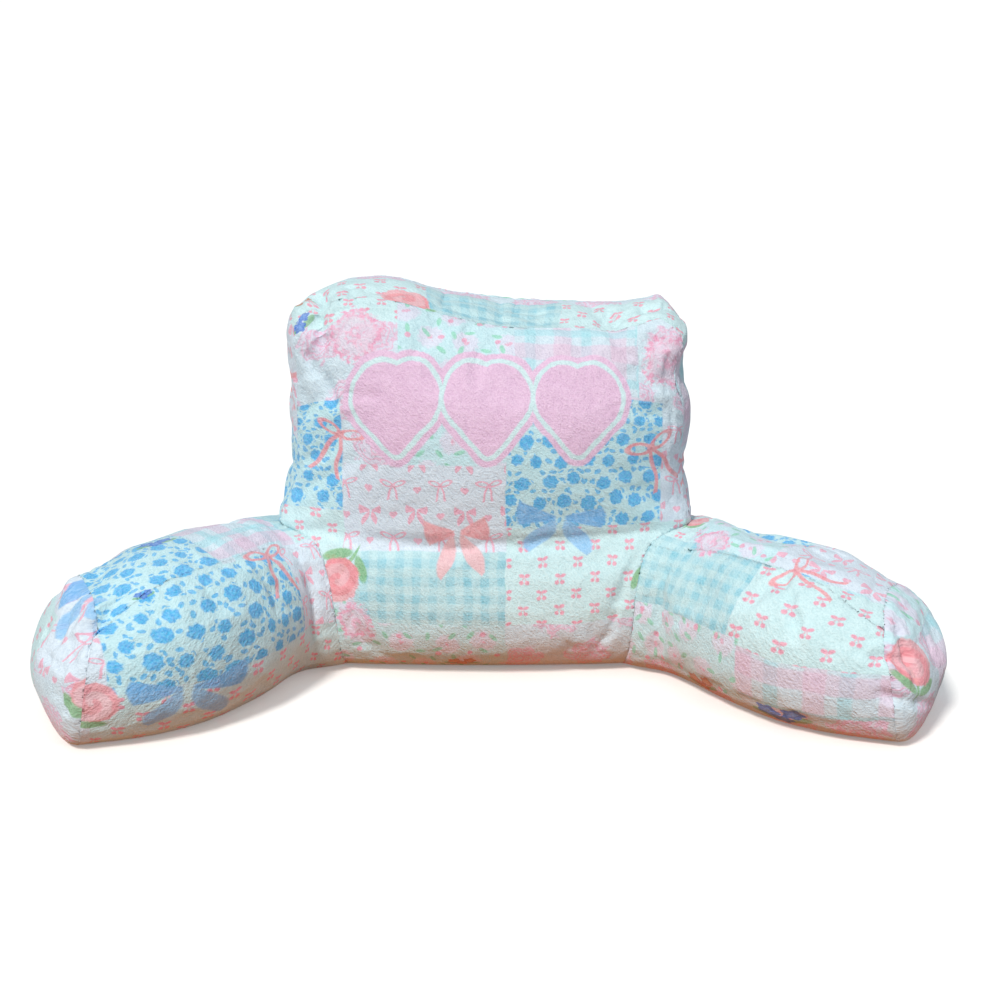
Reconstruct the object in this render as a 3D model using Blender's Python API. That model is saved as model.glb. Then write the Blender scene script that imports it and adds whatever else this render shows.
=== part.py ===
"""A reading pillow with arms: a stuffed back with a boxed edge, and two stuffed arms sewn to its lower sides.

Metres, +Z up. X runs across the pillow, the face that a sitter leans on looks to -Y, and the
origin lies on the floor at the middle of the footprint.

Each sewn panel is one filled solid: its outer face is the panel's cloth, and behind that face it
holds its share of the stuffing. A panel's cloth is a sheet of points, row by row, and neighbours
share the points of their seam, from which each then draws back by a seam's gap. The sheets come
from the tables below: a row for each level of the back, each section of an arm and each fold.
"""

import math
from typing import NamedTuple

import bmesh
import bpy
import numpy as np

# ---------------------------------------------------------------- driving sizes

SEAM_GAP = 0.00045  # between the solids of two neighbouring panels
SAME_POINT = 0.000001  # points closer than this are one
STEADINESS = 0.02  # keeps a corner from running along its faces when they are nearly level
SHARP_EDGE_DEG = 50  # seams are shaded sharp, the cloth smooth

ACROSS = 30  # steps across the front and rear panels
EDGE_FINENESS = 0.4  # how much finer those steps become at the edges
FINE_STEPS = 40  # fine steps from each row of a table to the next, from which even ones are measured
ROOT_LOW = 10  # steps up an arm's root seam, from the floor to the arm's own top seam
ROOT_HIGH = 4  # from there to the foot of the boxing band
SIDE_STEPS = 18  # steps up the side seam above that
BAND_STEPS = 8  # steps across the boxing band
FLOOR_STEPS = 6  # steps under an arm, half before the middle of its foot and half behind
ARM_STEPS = 22  # steps along an arm, root seam to end cap
CAP_RINGS = 5  # rings of an end cap, inside its seam

ROOT_STEPS = ROOT_LOW + ROOT_HIGH  # the row of a back panel where the boxing band starts
OUTER_STEPS = ROOT_HIGH + BAND_STEPS + ROOT_STEPS  # steps over an arm, from its top seam to the floor
HALF_FLOOR = FLOOR_STEPS // 2


class Level(NamedTuple):
    """One level of the back: its height, its two edges, and its depth at the edges and the middle."""

    z: float
    left: float
    right: float
    edge_y: float
    mid_y: float
    mid_rise: float = 0.0  # how much higher the middle lies than the edges
    roundness: float = 0.6  # 1 is a parabola's crown, less is fuller towards the edges


# Floor, up the root seam, past the arm's top, up the side seam to the top corner.
FRONT_LEVELS = (
    Level(0.000, -0.156, 0.156, 0.030, 0.024, 0.000, 1.0),
    Level(0.008, -0.159, 0.159, 0.006, 0.000, 0.000, 1.0),
    Level(0.035, -0.163, 0.163, -0.012, -0.024, 0.000, 1.0),
    Level(0.075, -0.167, 0.166, -0.016, -0.034, 0.000, 1.0),
    Level(0.115, -0.174, 0.170, -0.008, -0.024, 0.000, 0.9),
    Level(0.150, -0.188, 0.184, 0.012, -0.002, 0.000, 0.8),
    Level(0.159, -0.214, 0.212, 0.036, 0.000, 0.002, 0.7),
    Level(0.163, -0.238, 0.238, 0.058, -0.001, 0.006, 0.6),
    Level(0.196, -0.222, 0.224, 0.060, -0.005),
    Level(0.230, -0.213, 0.218, 0.060, -0.008),
    Level(0.285, -0.211, 0.223, 0.060, -0.002),
    Level(0.330, -0.212, 0.211, 0.064, 0.018),
    Level(0.362, -0.213, 0.222, 0.069, 0.038),
    Level(0.380, -0.207, 0.208, 0.075, 0.057, 0.003, 0.7),
    Level(0.387, -0.198, 0.195, 0.080, 0.074, 0.000, 1.0),
)
FRONT_ARM_SEAM = 5  # the level where the arm's own top seam meets the root seam
FRONT_BAND_FOOT = 7  # the level where the boxing band starts

REAR_LEVELS = (
    Level(0.000, -0.198, 0.198, 0.150, 0.166, 0.000, 1.0),
    Level(0.008, -0.203, 0.203, 0.166, 0.184, 0.000, 1.0),
    Level(0.040, -0.211, 0.211, 0.176, 0.196, 0.000, 1.0),
    Level(0.080, -0.220, 0.220, 0.176, 0.200, 0.000, 1.0),
    Level(0.115, -0.228, 0.228, 0.168, 0.202, 0.000, 0.9),
    Level(0.140, -0.232, 0.232, 0.158, 0.202, 0.000, 0.8),
    Level(0.180, -0.222, 0.224, 0.160, 0.202, 0.000, 0.7),
    Level(0.230, -0.212, 0.217, 0.162, 0.202),
    Level(0.285, -0.210, 0.220, 0.162, 0.202),
    Level(0.335, -0.211, 0.211, 0.164, 0.202),
    Level(0.366, -0.209, 0.214, 0.166, 0.201, 0.002),
    Level(0.382, -0.204, 0.203, 0.168, 0.190, 0.013, 0.7),
    Level(0.388, -0.196, 0.203, 0.168, 0.168, 0.000, 1.0),
)
REAR_BAND_FOOT = 5


class TopPoint(NamedTuple):
    """How far the top seams stand above their last level, across the back from -1 to 1."""

    across: float
    front: float
    rear: float


TOP_EDGE = (
    TopPoint(-1.00, 0.018, 0.018),
    TopPoint(-0.80, 0.029, 0.036),
    TopPoint(-0.50, 0.026, 0.034),
    TopPoint(-0.25, 0.012, 0.014),
    TopPoint(0.10, -0.002, 0.001),
    TopPoint(0.45, -0.004, -0.002),
    TopPoint(0.78, -0.002, 0.002),
    TopPoint(1.00, 0.006, 0.017),
)
TOP_REACH = 0.45  # the share of the panel's rows over which the top edge's shape fades out

BAND_SIDE_CROWN = 0.012  # how far the boxing band swells between its two seams up the sides,
BAND_TOP_CROWN = 0.003  # over the top, where it is taut,
BAND_FOOT_CROWN = 0.006  # and at its foot, where it rests on the arm
BAND_FOOT_ROWS = 4  # rows over which the one becomes the other
BAND_ROUNDNESS = 0.8  # 1 is a parabola across the band, less is fuller towards its seams


class Section(NamedTuple):
    """One section across an arm, from the root to the end cap's seam."""

    out: float  # the centre's distance from the middle of the pillow
    y: float
    half_width: float
    height: float
    seam_deg: float  # where the arm's top seam lies, up from the inner side


LEFT_SECTIONS = (
    Section(0.190, 0.086, 0.094, 0.164, 54),
    Section(0.238, 0.058, 0.092, 0.164, 52),
    Section(0.280, 0.016, 0.098, 0.172, 56),
    Section(0.316, -0.040, 0.106, 0.175, 60),
    Section(0.364, -0.090, 0.108, 0.172, 60),
    Section(0.443, -0.129, 0.091, 0.150, 46),
)
RIGHT_SECTIONS = (
    Section(0.190, 0.086, 0.094, 0.164, 54),
    Section(0.238, 0.054, 0.092, 0.162, 54),
    Section(0.284, 0.010, 0.098, 0.167, 60),
    Section(0.326, -0.040, 0.104, 0.166, 66),
    Section(0.374, -0.084, 0.106, 0.163, 66),
    Section(0.452, -0.122, 0.091, 0.143, 46),
)
CENTRE_HEIGHT = 0.47  # an arm's centre, as a share of its height
PRESSED = 0.88  # how much of the lower half stands above the floor: the rest is pressed flat
ROUND_TOP = 2.1  # a section's superellipse above its centre (2 is an ellipse) ...
SQUARE_FOOT = 3.0  # ... and below it
REST_BLEND = 0.006  # height over which the cloth turns under to lie flat on the floor
ROOT_BLEND = 0.30  # the share of the arm over which the root seam's outline fades out
CAP_LEAN = 0.034  # how much farther back the top of a cap's seam lies than its foot
CAP_LEAN_STEPS = 8  # steps of the arm over which its sections take up that lean
CAP_DOME = 0.028  # how far an end cap swells past its seam
CAP_FULLNESS = 2.1  # its profile's superellipse
RING_STEPS = 1440  # fine steps round a section, from which its even ones are measured
HUB = (0.193, 0.085, 0.082)  # inside the root, where an arm's stuffing and the back's all meet
INNER_SHARE = 0.62  # the back's hidden meeting edge, as a share of the way out to its seams
INNER_CENTRE = (0.0, 0.100, 0.150)


class Fold(NamedTuple):
    """A soft trough along a straight line on the cloth, fading at its ends; a ridge has depth below 0."""

    start: tuple
    end: tuple
    width: float
    depth: float
    pull: tuple  # the direction into the stuffing


FOLD_END = 0.02  # the share of its length at which a fold stops short of fading out
FOLD_FADE = 0.5  # how suddenly a fold fades at its ends: less is more sudden

INTO_BACK = (0.0, 1.0, 0.0)
INTO_TOP = (0.0, 0.3, -1.0)
INTO_LEFT_SIDE = (0.7, 0.7, 0.0)
INTO_RIGHT_SIDE = (-0.7, 0.7, 0.0)
INTO_LEFT_ARM = (-0.2, 0.6, -0.7)
INTO_RIGHT_ARM = (0.3, 0.6, -0.7)
INTO_LEFT_ROOT = (-0.4, 0.9, 0.0)
INTO_RIGHT_ROOT = (0.4, 0.9, 0.0)
ALONG_LEFT_ARM = (0.9, 0.4, 0.0)
INTO_LEFT_CAP = (0.8, 0.5, -0.2)
INTO_RIGHT_CAP = (-0.8, 0.5, -0.2)

FOLDS = (
    # the waist, where the back meets the bulge between the arms
    Fold((-0.150, 0.000, 0.144), (-0.015, -0.002, 0.158), 0.028, 0.006, INTO_BACK),
    Fold((0.020, -0.002, 0.152), (0.165, 0.000, 0.142), 0.028, 0.006, INTO_BACK),
    # drag lines below the top left corner
    Fold((-0.208, 0.060, 0.372), (-0.150, 0.020, 0.290), 0.020, -0.006, INTO_BACK),
    Fold((-0.186, 0.045, 0.368), (-0.170, 0.028, 0.296), 0.016, 0.009, INTO_BACK),
    Fold((-0.212, 0.064, 0.345), (-0.188, 0.040, 0.270), 0.018, 0.006, INTO_LEFT_SIDE),
    Fold((-0.150, 0.026, 0.318), (-0.100, 0.010, 0.312), 0.014, 0.004, INTO_BACK),
    # the gathered top left corner
    Fold((-0.196, 0.130, 0.425), (-0.168, 0.052, 0.396), 0.016, 0.009, INTO_TOP),
    Fold((-0.214, 0.080, 0.398), (-0.176, 0.056, 0.384), 0.014, 0.007, INTO_LEFT_SIDE),
    Fold((-0.214, 0.150, 0.400), (-0.190, 0.090, 0.424), 0.016, 0.006, INTO_TOP),
    # the top right corner and the pucker beside it
    Fold((0.128, 0.125, 0.396), (0.146, 0.056, 0.376), 0.015, 0.008, INTO_TOP),
    Fold((0.100, 0.080, 0.388), (0.180, 0.078, 0.388), 0.012, 0.004, INTO_TOP),
    Fold((0.200, 0.072, 0.376), (0.172, 0.050, 0.366), 0.014, 0.004, INTO_RIGHT_SIDE),
    # the pinched right side seam
    Fold((0.206, 0.066, 0.332), (0.150, 0.032, 0.338), 0.016, 0.006, INTO_RIGHT_SIDE),
    Fold((0.216, 0.070, 0.262), (0.178, 0.034, 0.250), 0.016, 0.004, INTO_RIGHT_SIDE),
    # left arm: the drawn-up seam before the cap, and dents beside the root
    Fold((-0.352, -0.145, 0.160), (-0.412, -0.200, 0.116), 0.018, 0.011, INTO_LEFT_ARM),
    Fold((-0.300, -0.060, 0.176), (-0.272, -0.074, 0.140), 0.018, 0.004, INTO_LEFT_ARM),
    Fold((-0.198, -0.010, 0.130), (-0.200, -0.034, 0.050), 0.018, 0.004, INTO_LEFT_ROOT),
    Fold((-0.405, -0.155, 0.146), (-0.436, -0.190, 0.100), 0.036, 0.014, ALONG_LEFT_ARM),
    # left cap: a curled fold between two troughs, and a dent on top
    Fold((-0.412, -0.196, 0.104), (-0.462, -0.130, 0.118), 0.014, 0.008, INTO_LEFT_CAP),
    Fold((-0.416, -0.198, 0.084), (-0.464, -0.130, 0.094), 0.012, -0.005, INTO_LEFT_CAP),
    Fold((-0.416, -0.196, 0.066), (-0.464, -0.120, 0.070), 0.014, 0.007, INTO_LEFT_CAP),
    Fold((-0.400, -0.070, 0.166), (-0.446, -0.110, 0.146), 0.020, 0.007, INTO_TOP),
    # right arm: soft upright dents
    Fold((0.304, -0.088, 0.160), (0.318, -0.168, 0.096), 0.018, 0.008, INTO_RIGHT_ARM),
    Fold((0.336, -0.104, 0.158), (0.344, -0.176, 0.104), 0.016, 0.005, INTO_RIGHT_ARM),
    Fold((0.198, -0.006, 0.138), (0.200, -0.040, 0.050), 0.016, 0.006, INTO_RIGHT_ROOT),
    # right cap: creases that run from its seam
    Fold((0.394, -0.192, 0.126), (0.440, -0.182, 0.078), 0.016, 0.008, INTO_RIGHT_CAP),
    Fold((0.430, -0.182, 0.100), (0.470, -0.100, 0.104), 0.014, 0.008, INTO_RIGHT_CAP),
    Fold((0.414, -0.192, 0.046), (0.464, -0.120, 0.050), 0.014, 0.008, INTO_RIGHT_CAP),
    Fold((0.388, -0.200, 0.050), (0.430, -0.178, 0.018), 0.016, 0.008, INTO_RIGHT_CAP),
)

PRINT_COLOURS = {
    "front_panel": (0.83, 0.86, 0.90, 1),
    "boxing_band": (0.74, 0.88, 0.90, 1),
    "rear_panel": (0.84, 0.86, 0.90, 1),
    "arm_left_upper": (0.80, 0.82, 0.88, 1),
    "arm_left_inner": (0.62, 0.80, 0.88, 1),
    "arm_left_end": (0.82, 0.80, 0.82, 1),
    "arm_right_upper": (0.88, 0.80, 0.86, 1),
    "arm_right_inner": (0.78, 0.87, 0.88, 1),
    "arm_right_end": (0.84, 0.80, 0.82, 1),
}


# ---------------------------------------------------------------- curves


def smooth_rows(rows, at):
    """The rows of a table at row numbers that may lie between, on smooth curves through the rows."""
    rows = np.array(rows, float)
    at = np.clip(np.asarray(at, float), 0, len(rows) - 1)
    low = np.minimum(at.astype(int), len(rows) - 2)
    t = (at - low)[:, None]
    padded = np.vstack([2 * rows[0] - rows[1], rows, 2 * rows[-1] - rows[-2]])
    before, a, b, after = (padded[low + k] for k in range(4))
    return 0.5 * (
        2 * a
        + (b - before) * t
        + (2 * before - 5 * a + 4 * b - after) * t**2
        + (3 * a - before - 3 * b + after) * t**3
    )


def even_rows(rows, first, last, steps, place):
    """Rows first to last of a table in equal steps of distance, measured on the columns of place."""
    fine = np.linspace(first, last, FINE_STEPS * (last - first) + 1)
    line = smooth_rows(rows, fine)[:, place]
    along = np.concatenate([[0], np.cumsum(np.linalg.norm(np.diff(line, axis=0), axis=1))])
    return smooth_rows(rows, np.interp(np.linspace(0, along[-1], steps + 1), along, fine))


def even_line(points, steps):
    """A line of points again, in equal steps of its length."""
    points = np.asarray(points, float)
    along = np.concatenate([[0], np.cumsum(np.linalg.norm(np.diff(points, axis=0), axis=1))])
    at = np.linspace(0, along[-1], steps + 1)
    return np.stack([np.interp(at, along, points[:, k]) for k in range(3)], axis=1)


def eased(t):
    """0 to 1 with no slope at either end."""
    t = np.clip(t, 0, 1)
    return t * t * (3 - 2 * t)


def turned(points, angle):
    """Points turned about the vertical through the origin."""
    cosine, sine = math.cos(angle), math.sin(angle)
    return points @ np.array([[cosine, sine, 0], [-sine, cosine, 0], [0, 0, 1]])


# ---------------------------------------------------------------- the back's sheets

EVEN_SHARES = np.linspace(-1, 1, ACROSS + 1)
ACROSS_SHARES = EVEN_SHARES + EDGE_FINENESS * (np.sin(math.pi / 2 * EVEN_SHARES) - EVEN_SHARES)


def front_rows():
    """The front panel's levels in even steps, with rows at the arm's seam and the band's foot."""
    seam = (0, 1, 3)
    low = even_rows(FRONT_LEVELS, 0, FRONT_ARM_SEAM, ROOT_LOW, seam)
    high = even_rows(FRONT_LEVELS, FRONT_ARM_SEAM, FRONT_BAND_FOOT, ROOT_HIGH, seam)
    side = even_rows(FRONT_LEVELS, FRONT_BAND_FOOT, len(FRONT_LEVELS) - 1, SIDE_STEPS, seam)
    return np.vstack([low[:-1], high[:-1], side])


def rear_rows():
    """The rear panel's levels in even steps, with a row at the band's foot."""
    seam = (0, 1, 3)
    low = even_rows(REAR_LEVELS, 0, REAR_BAND_FOOT, ROOT_STEPS, seam)
    side = even_rows(REAR_LEVELS, REAR_BAND_FOOT, len(REAR_LEVELS) - 1, SIDE_STEPS, seam)
    return np.vstack([low[:-1], side])


def back_sheet(rows, top_column):
    """The front or rear panel's cloth: rows from the floor to the top seam, points left to right."""
    top = np.array(TOP_EDGE)
    at = np.interp(ACROSS_SHARES, top[:, 0], np.arange(len(top)))
    lift = smooth_rows(top, at)[:, top_column]
    sheet = []
    for step, (z, left, right, edge_y, mid_y, mid_rise, roundness) in enumerate(rows):
        crown = np.maximum(1 - ACROSS_SHARES**2, 0) ** roundness
        reach = eased((step / (len(rows) - 1) - (1 - TOP_REACH)) / TOP_REACH)
        x = left + (right - left) * (ACROSS_SHARES + 1) / 2
        y = edge_y + (mid_y - edge_y) * crown
        sheet.append(np.stack([x, y, max(z, 0) + mid_rise * crown + lift * reach], axis=1))
    return np.array(sheet)


def edge_line(sheet):
    """The seam round a back panel's upper part: up its left side, over the top, down its right side."""
    return np.vstack([sheet[ROOT_STEPS:-1, 0], sheet[-1], sheet[-2 : ROOT_STEPS - 1 : -1, -1]])


def band_sheet(front_line, rear_line):
    """The boxing band's cloth: rows along its two seams, points from the front seam to the rear one."""
    along = np.gradient((front_line + rear_line) / 2, axis=0)
    across = rear_line - front_line
    outward = np.cross(along, across)
    outward /= np.linalg.norm(outward, axis=1)[:, None]
    share = np.linspace(0, 1, BAND_STEPS + 1)
    swell = (4 * share * (1 - share)) ** BAND_ROUNDNESS
    rows = np.arange(len(front_line))
    from_foot = eased(np.minimum(rows, rows[::-1]) / BAND_FOOT_ROWS)
    upward = outward[:, 2] ** 2
    crown = BAND_SIDE_CROWN + (BAND_TOP_CROWN - BAND_SIDE_CROWN) * upward
    crown = BAND_FOOT_CROWN + (crown - BAND_FOOT_CROWN) * from_foot
    lines = front_line[:, None] + across[:, None] * share[None, :, None]
    return lines + outward[:, None] * (crown[:, None] * swell[None, :])[:, :, None]


def inner_line(front_line, rear_line, hubs):
    """Inside the back, the line where the front, band and rear panels' stuffing meets."""
    centre = np.array(INNER_CENTRE)
    line = centre + ((front_line + rear_line) / 2 - centre) * (INNER_SHARE, 0, INNER_SHARE)
    line[0], line[-1] = hubs
    return line


# ---------------------------------------------------------------- the arms' sheets


def rested(z):
    """Heights, with what would be below the floor laid on it after a smooth turn."""
    turning = (z + REST_BLEND) ** 2 / (4 * REST_BLEND)
    return np.where(z > REST_BLEND, z, np.where(z > -REST_BLEND, turning, 0.0))


def arm_ring(inner, outer):
    """A closed ring: up the inner side, over the top and down outside, and back under the arm."""
    under = (outer[-1], inner[0])
    stretches = ((inner, ROOT_LOW), (outer, OUTER_STEPS), (under, FLOOR_STEPS))
    return np.vstack([even_line(line, steps)[:-1] for line, steps in stretches])


def section_ring(section, side, inward):
    """The ring of one section of an arm, and its centre. inward points to the arm's inner side."""
    centre_z = CENTRE_HEIGHT * section.height
    centre = np.array([side * section.out, section.y, centre_z])
    turn = np.radians(np.linspace(-90, 270, RING_STEPS + 1))
    above = np.sin(turn) > 0
    power = 2 / np.where(above, ROUND_TOP, SQUARE_FOOT)
    half_height = np.where(above, section.height - centre_z, centre_z / PRESSED)
    lateral = section.half_width * np.sign(np.cos(turn)) * np.abs(np.cos(turn)) ** power
    height = centre_z + half_height * np.sign(np.sin(turn)) * np.abs(np.sin(turn)) ** power
    outline = centre * (1, 1, 0) + lateral[:, None] * inward
    outline[:, 2] = rested(height)
    standing = height > -REST_BLEND
    before_seam = turn <= math.radians(section.seam_deg)
    return arm_ring(outline[standing & before_seam], outline[standing & ~before_seam]), centre


def root_ring(front, band, rear, column):
    """The ring of an arm's root seam, shared with the back: column is 0 on the left, -1 on the right."""
    foot = band[0 if column == 0 else -1]
    floor = even_line((rear[0, column], front[0, column]), FLOOR_STEPS)
    rear_side = rear[ROOT_STEPS:0:-1, column]
    return np.vstack([front[:ROOT_STEPS, column], foot[:-1], rear_side, floor[:-1]])


def arm_sheet(sections, root, side):
    """An arm's rings from the root seam to the end cap's seam, the centres, and the way it points."""
    rows = even_rows(sections, 0, len(sections) - 1, ARM_STEPS, (0, 1))
    along = np.gradient(rows[:, :2] * (side, 1), axis=0)
    along /= np.linalg.norm(along, axis=1)[:, None]
    hub = np.array(HUB) * (side, 1, 1)
    start = np.append(rows[0, :2] * (side, 1), hub[2])
    heading = np.arctan2(along[:, 1], along[:, 0])
    rings = []
    centres = []
    for step, (row, (ahead_x, ahead_y)) in enumerate(zip(rows, along)):
        inward = np.array([side * ahead_y, -side * ahead_x, 0])
        section = Section(*row)
        ring, centre = section_ring(section, side, inward)
        moved = centre * (1, 1, 0) - start * (1, 1, 0)
        carried = turned(root - hub, heading[step] - heading[0]) + hub + moved
        share = eased(step / ARM_STEPS / ROOT_BLEND)
        lean = CAP_LEAN * eased((step - ARM_STEPS) / CAP_LEAN_STEPS + 1)
        back = -lean * np.append(along[step], 0) * (ring[:, 2:] / section.height) ** 2
        rings.append(carried + (ring - carried) * share + back)
        centres.append(hub + moved + (centre - hub - moved) * share)
    return np.array(rings), np.array(centres), np.append(along[-1], 0)


def cap_sheet(seam_ring, centre, outward):
    """An end cap's rings from its seam inwards, and its middle point."""
    rings = []
    for step in range(CAP_RINGS + 1):
        turn = math.pi / 2 * step / (CAP_RINGS + 1)
        radius, rise = math.cos(turn) ** (2 / CAP_FULLNESS), math.sin(turn) ** (2 / CAP_FULLNESS)
        rings.append(centre + (seam_ring - centre) * radius + outward * CAP_DOME * rise)
    return np.array(rings), centre + outward * CAP_DOME


# ---------------------------------------------------------------- solids


class Solid:
    """A closed mesh put together from sheets, strips and fans of points."""

    def __init__(self, name):
        self.name = name
        self.points = []
        self.faces = []
        self.found = {}

    def index(self, point):
        """The point's index, which it shares with any point in the same place."""
        key = tuple(np.round(point / SAME_POINT).astype(int))
        if key not in self.found:
            self.found[key] = len(self.points)
            self.points.append(point)
        return self.found[key]

    def face(self, *points):
        """A face, unless its points run together."""
        corners = list(dict.fromkeys(self.index(point) for point in points))
        if len(corners) > 2:
            self.faces.append(corners)

    def sheet(self, rows):
        """Quads between the points of each row and the next."""
        for low, high in zip(rows[:-1], rows[1:]):
            for a, b, c, d in zip(low[:-1], low[1:], high[1:], high[:-1]):
                self.face(a, b, c, d)

    def strip(self, line, other):
        """Triangles between two lines with as many points."""
        for a, b, c, d in zip(line[:-1], line[1:], other[1:], other[:-1]):
            self.face(a, b, c)
            self.face(a, c, d)

    def fan(self, line, apex):
        """Triangles from each step of a line to one point."""
        for a, b in zip(line[:-1], line[1:]):
            self.face(a, b, apex)

    def drawn_back(self, body):
        """Draws every face in by half the seam gap, but leaves the foot on the floor."""
        moves = {}
        for corner in body.verts:
            normals = np.array([face.normal for face in corner.link_faces])
            wanted = np.full(len(normals), -SEAM_GAP / 2)
            pull = normals.T @ normals + STEADINESS * np.eye(3)
            moves[corner] = np.linalg.solve(pull, normals.T @ wanted)
        for corner, move in moves.items():
            on_floor = corner.co.z < SAME_POINT
            corner.co += type(corner.co)(move)
            if on_floor:
                corner.co.z = 0

    def build(self):
        """Makes the object, with its own material."""
        body = bmesh.new()
        corners = [body.verts.new(point) for point in self.points]
        for face in self.faces:
            body.faces.new([corners[index] for index in face])
        bmesh.ops.recalc_face_normals(body, faces=body.faces)
        self.drawn_back(body)
        mesh = bpy.data.meshes.new(self.name)
        body.to_mesh(mesh)
        body.free()
        mesh.shade_smooth()
        mesh.set_sharp_from_angle(angle=math.radians(SHARP_EDGE_DEG))
        mesh.materials.append(plush(self.name, PRINT_COLOURS[self.name]))
        obj = bpy.data.objects.new(self.name, mesh)
        bpy.context.scene.collection.objects.link(obj)
        return obj


def plush(name, colour):
    """A printed plush's average colour, with no shine."""
    material = bpy.data.materials.new(name)
    material.use_nodes = True
    shader = material.node_tree.nodes["Principled BSDF"]
    shader.inputs["Base Color"].default_value = colour
    shader.inputs["Roughness"].default_value = 0.9
    shader.inputs["Metallic"].default_value = 0.0
    return material


# ---------------------------------------------------------------- the pillow


class Arm(NamedTuple):
    """An arm's sheets, before they are split into its three panels."""

    rings: np.ndarray
    centres: np.ndarray
    cap: np.ndarray
    cap_middle: np.ndarray


def folded(points):
    """The points moved by every fold that reaches them."""
    points = np.array(points, float)
    for fold in FOLDS:
        start, end, pull = (np.array(vector, float) for vector in (fold.start, fold.end, fold.pull))
        run = end - start
        along = np.clip((points - start) @ run / (run @ run), 0, 1)
        off = np.linalg.norm(points - start - along[..., None] * run, axis=-1) / fold.width
        fade = np.sin(math.pi * np.clip(along, FOLD_END, 1 - FOLD_END)) ** FOLD_FADE
        shape = np.cos(math.pi / 2 * np.minimum(off, 1)) ** 2 * fade
        points += (fold.depth * shape)[..., None] * pull
    return points


def arm_solids(name, arm):
    """An arm's upper, inner and end panels, each with the stuffing between it and the arm's centre."""
    seam, floor = ROOT_LOW, ROOT_LOW + OUTER_STEPS
    closed = np.concatenate([arm.rings, arm.rings[:, :1]], axis=1)
    upper = closed[:, seam : floor + 1]
    inner = np.concatenate([closed[:, floor:], closed[:, 1 : seam + 1]], axis=1)
    solids = []
    for panel, sheet in (("upper", upper), ("inner", inner)):
        solid = Solid(f"{name}_{panel}")
        solid.sheet(sheet)
        solid.strip(sheet[:, 0], arm.centres)
        solid.strip(sheet[:, -1], arm.centres)
        solid.fan(sheet[0], arm.centres[0])
        solid.fan(sheet[-1], arm.centres[-1])
        solids.append(solid)
    end = Solid(f"{name}_end")
    cap = np.concatenate([arm.cap, arm.cap[:, :1]], axis=1)
    end.sheet(cap)
    end.fan(cap[-1], arm.cap_middle)
    end.fan(closed[-1], arm.centres[-1])
    return solids + [end]


def back_panel_solid(name, sheet, seam_line, inner, middle_floor, hubs):
    """The front or rear panel, with the stuffing between it and the middle of the back."""
    solid = Solid(name)
    solid.sheet(sheet)
    solid.strip(seam_line, inner)
    floor = np.linspace(sheet[0], middle_floor, HALF_FLOOR + 1)
    solid.sheet(floor)
    for column, hub in ((0, hubs[0]), (-1, hubs[1])):
        side = np.vstack([floor[::-1, column], sheet[1 : ROOT_STEPS + 1, column]])
        solid.fan(side, hub)
    rim = np.vstack([middle_floor[:1], inner, middle_floor[::-1]])
    solid.fan(rim, np.array(INNER_CENTRE))
    return solid


def pillow_solids():
    """Every panel's solid, from sheets that share their seams."""
    front = back_sheet(front_rows(), TopPoint._fields.index("front"))
    rear = back_sheet(rear_rows(), TopPoint._fields.index("rear"))
    front_line, rear_line = edge_line(front), edge_line(rear)
    band = band_sheet(front_line, rear_line)
    hubs = [np.array(HUB) * (side, 1, 1) for side in (-1, 1)]
    inner = inner_line(front_line, rear_line, hubs)

    arms = {}
    for name, side, column, sections in (
        ("arm_left", -1, 0, LEFT_SECTIONS),
        ("arm_right", 1, -1, RIGHT_SECTIONS),
    ):
        root = root_ring(front, band, rear, column)
        rings, centres, outward = arm_sheet(sections, root, side)
        cap, middle = cap_sheet(rings[-1], centres[-1], outward)
        arms[name] = Arm(folded(rings), centres, folded(cap), middle)

    front, rear, band = folded(front), folded(rear), folded(band)
    front_line, rear_line = edge_line(front), edge_line(rear)
    ends = [(front[0, column] + rear[0, column]) / 2 for column in (0, -1)]
    middle_floor = ends[0] + (ends[1] - ends[0]) * (ACROSS_SHARES[:, None] + 1) / 2

    boxing = Solid("boxing_band")
    boxing.sheet(band)
    boxing.strip(front_line, inner)
    boxing.strip(rear_line, inner)
    boxing.fan(band[0], hubs[0])
    boxing.fan(band[-1], hubs[1])
    solids = [
        back_panel_solid("front_panel", front, front_line, inner, middle_floor, hubs),
        boxing,
        back_panel_solid("rear_panel", rear, rear_line, inner, middle_floor, hubs),
    ]
    for name, arm in arms.items():
        solids += arm_solids(name, arm)
    return solids


def centre_footprint(objects):
    """Moves the pillow so that the middle of its footprint is the origin."""
    points = np.array([corner.co for obj in objects for corner in obj.data.vertices])
    middle = (points.min(axis=0) + points.max(axis=0)) / 2
    for obj in objects:
        for corner in obj.data.vertices:
            corner.co.x -= middle[0]
            corner.co.y -= middle[1]


def main():
    """Clears the scene and builds the pillow."""
    for obj in list(bpy.data.objects):
        bpy.data.objects.remove(obj, do_unlink=True)
    centre_footprint([solid.build() for solid in pillow_solids()])


if __name__ == "__main__":
    main()
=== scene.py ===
"""The looks of a reading pillow with arms: stuffed plush panels, their patchwork, and a plain studio.

Every length is in metres, in the frame's own axes: X runs across the pillow, the face that a sitter
leans on looks to -Y, and the floor is z = 0. Each panel of the frame is taken over by a padded
piece: a copy of its solid that is remeshed, inflated as cloth and creased. Its UV map, called flat,
is laid out in metres as the cloth was cut, and the print is drawn on it by shader nodes.
"""

import logging
import math
from collections.abc import Callable
from dataclasses import asdict, dataclass, field
from enum import Enum
from typing import TypeAlias

import bmesh
import bpy
import numpy as np
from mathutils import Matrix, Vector, noise
from mathutils.bvhtree import BVHTree
from mathutils.kdtree import KDTree


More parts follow.
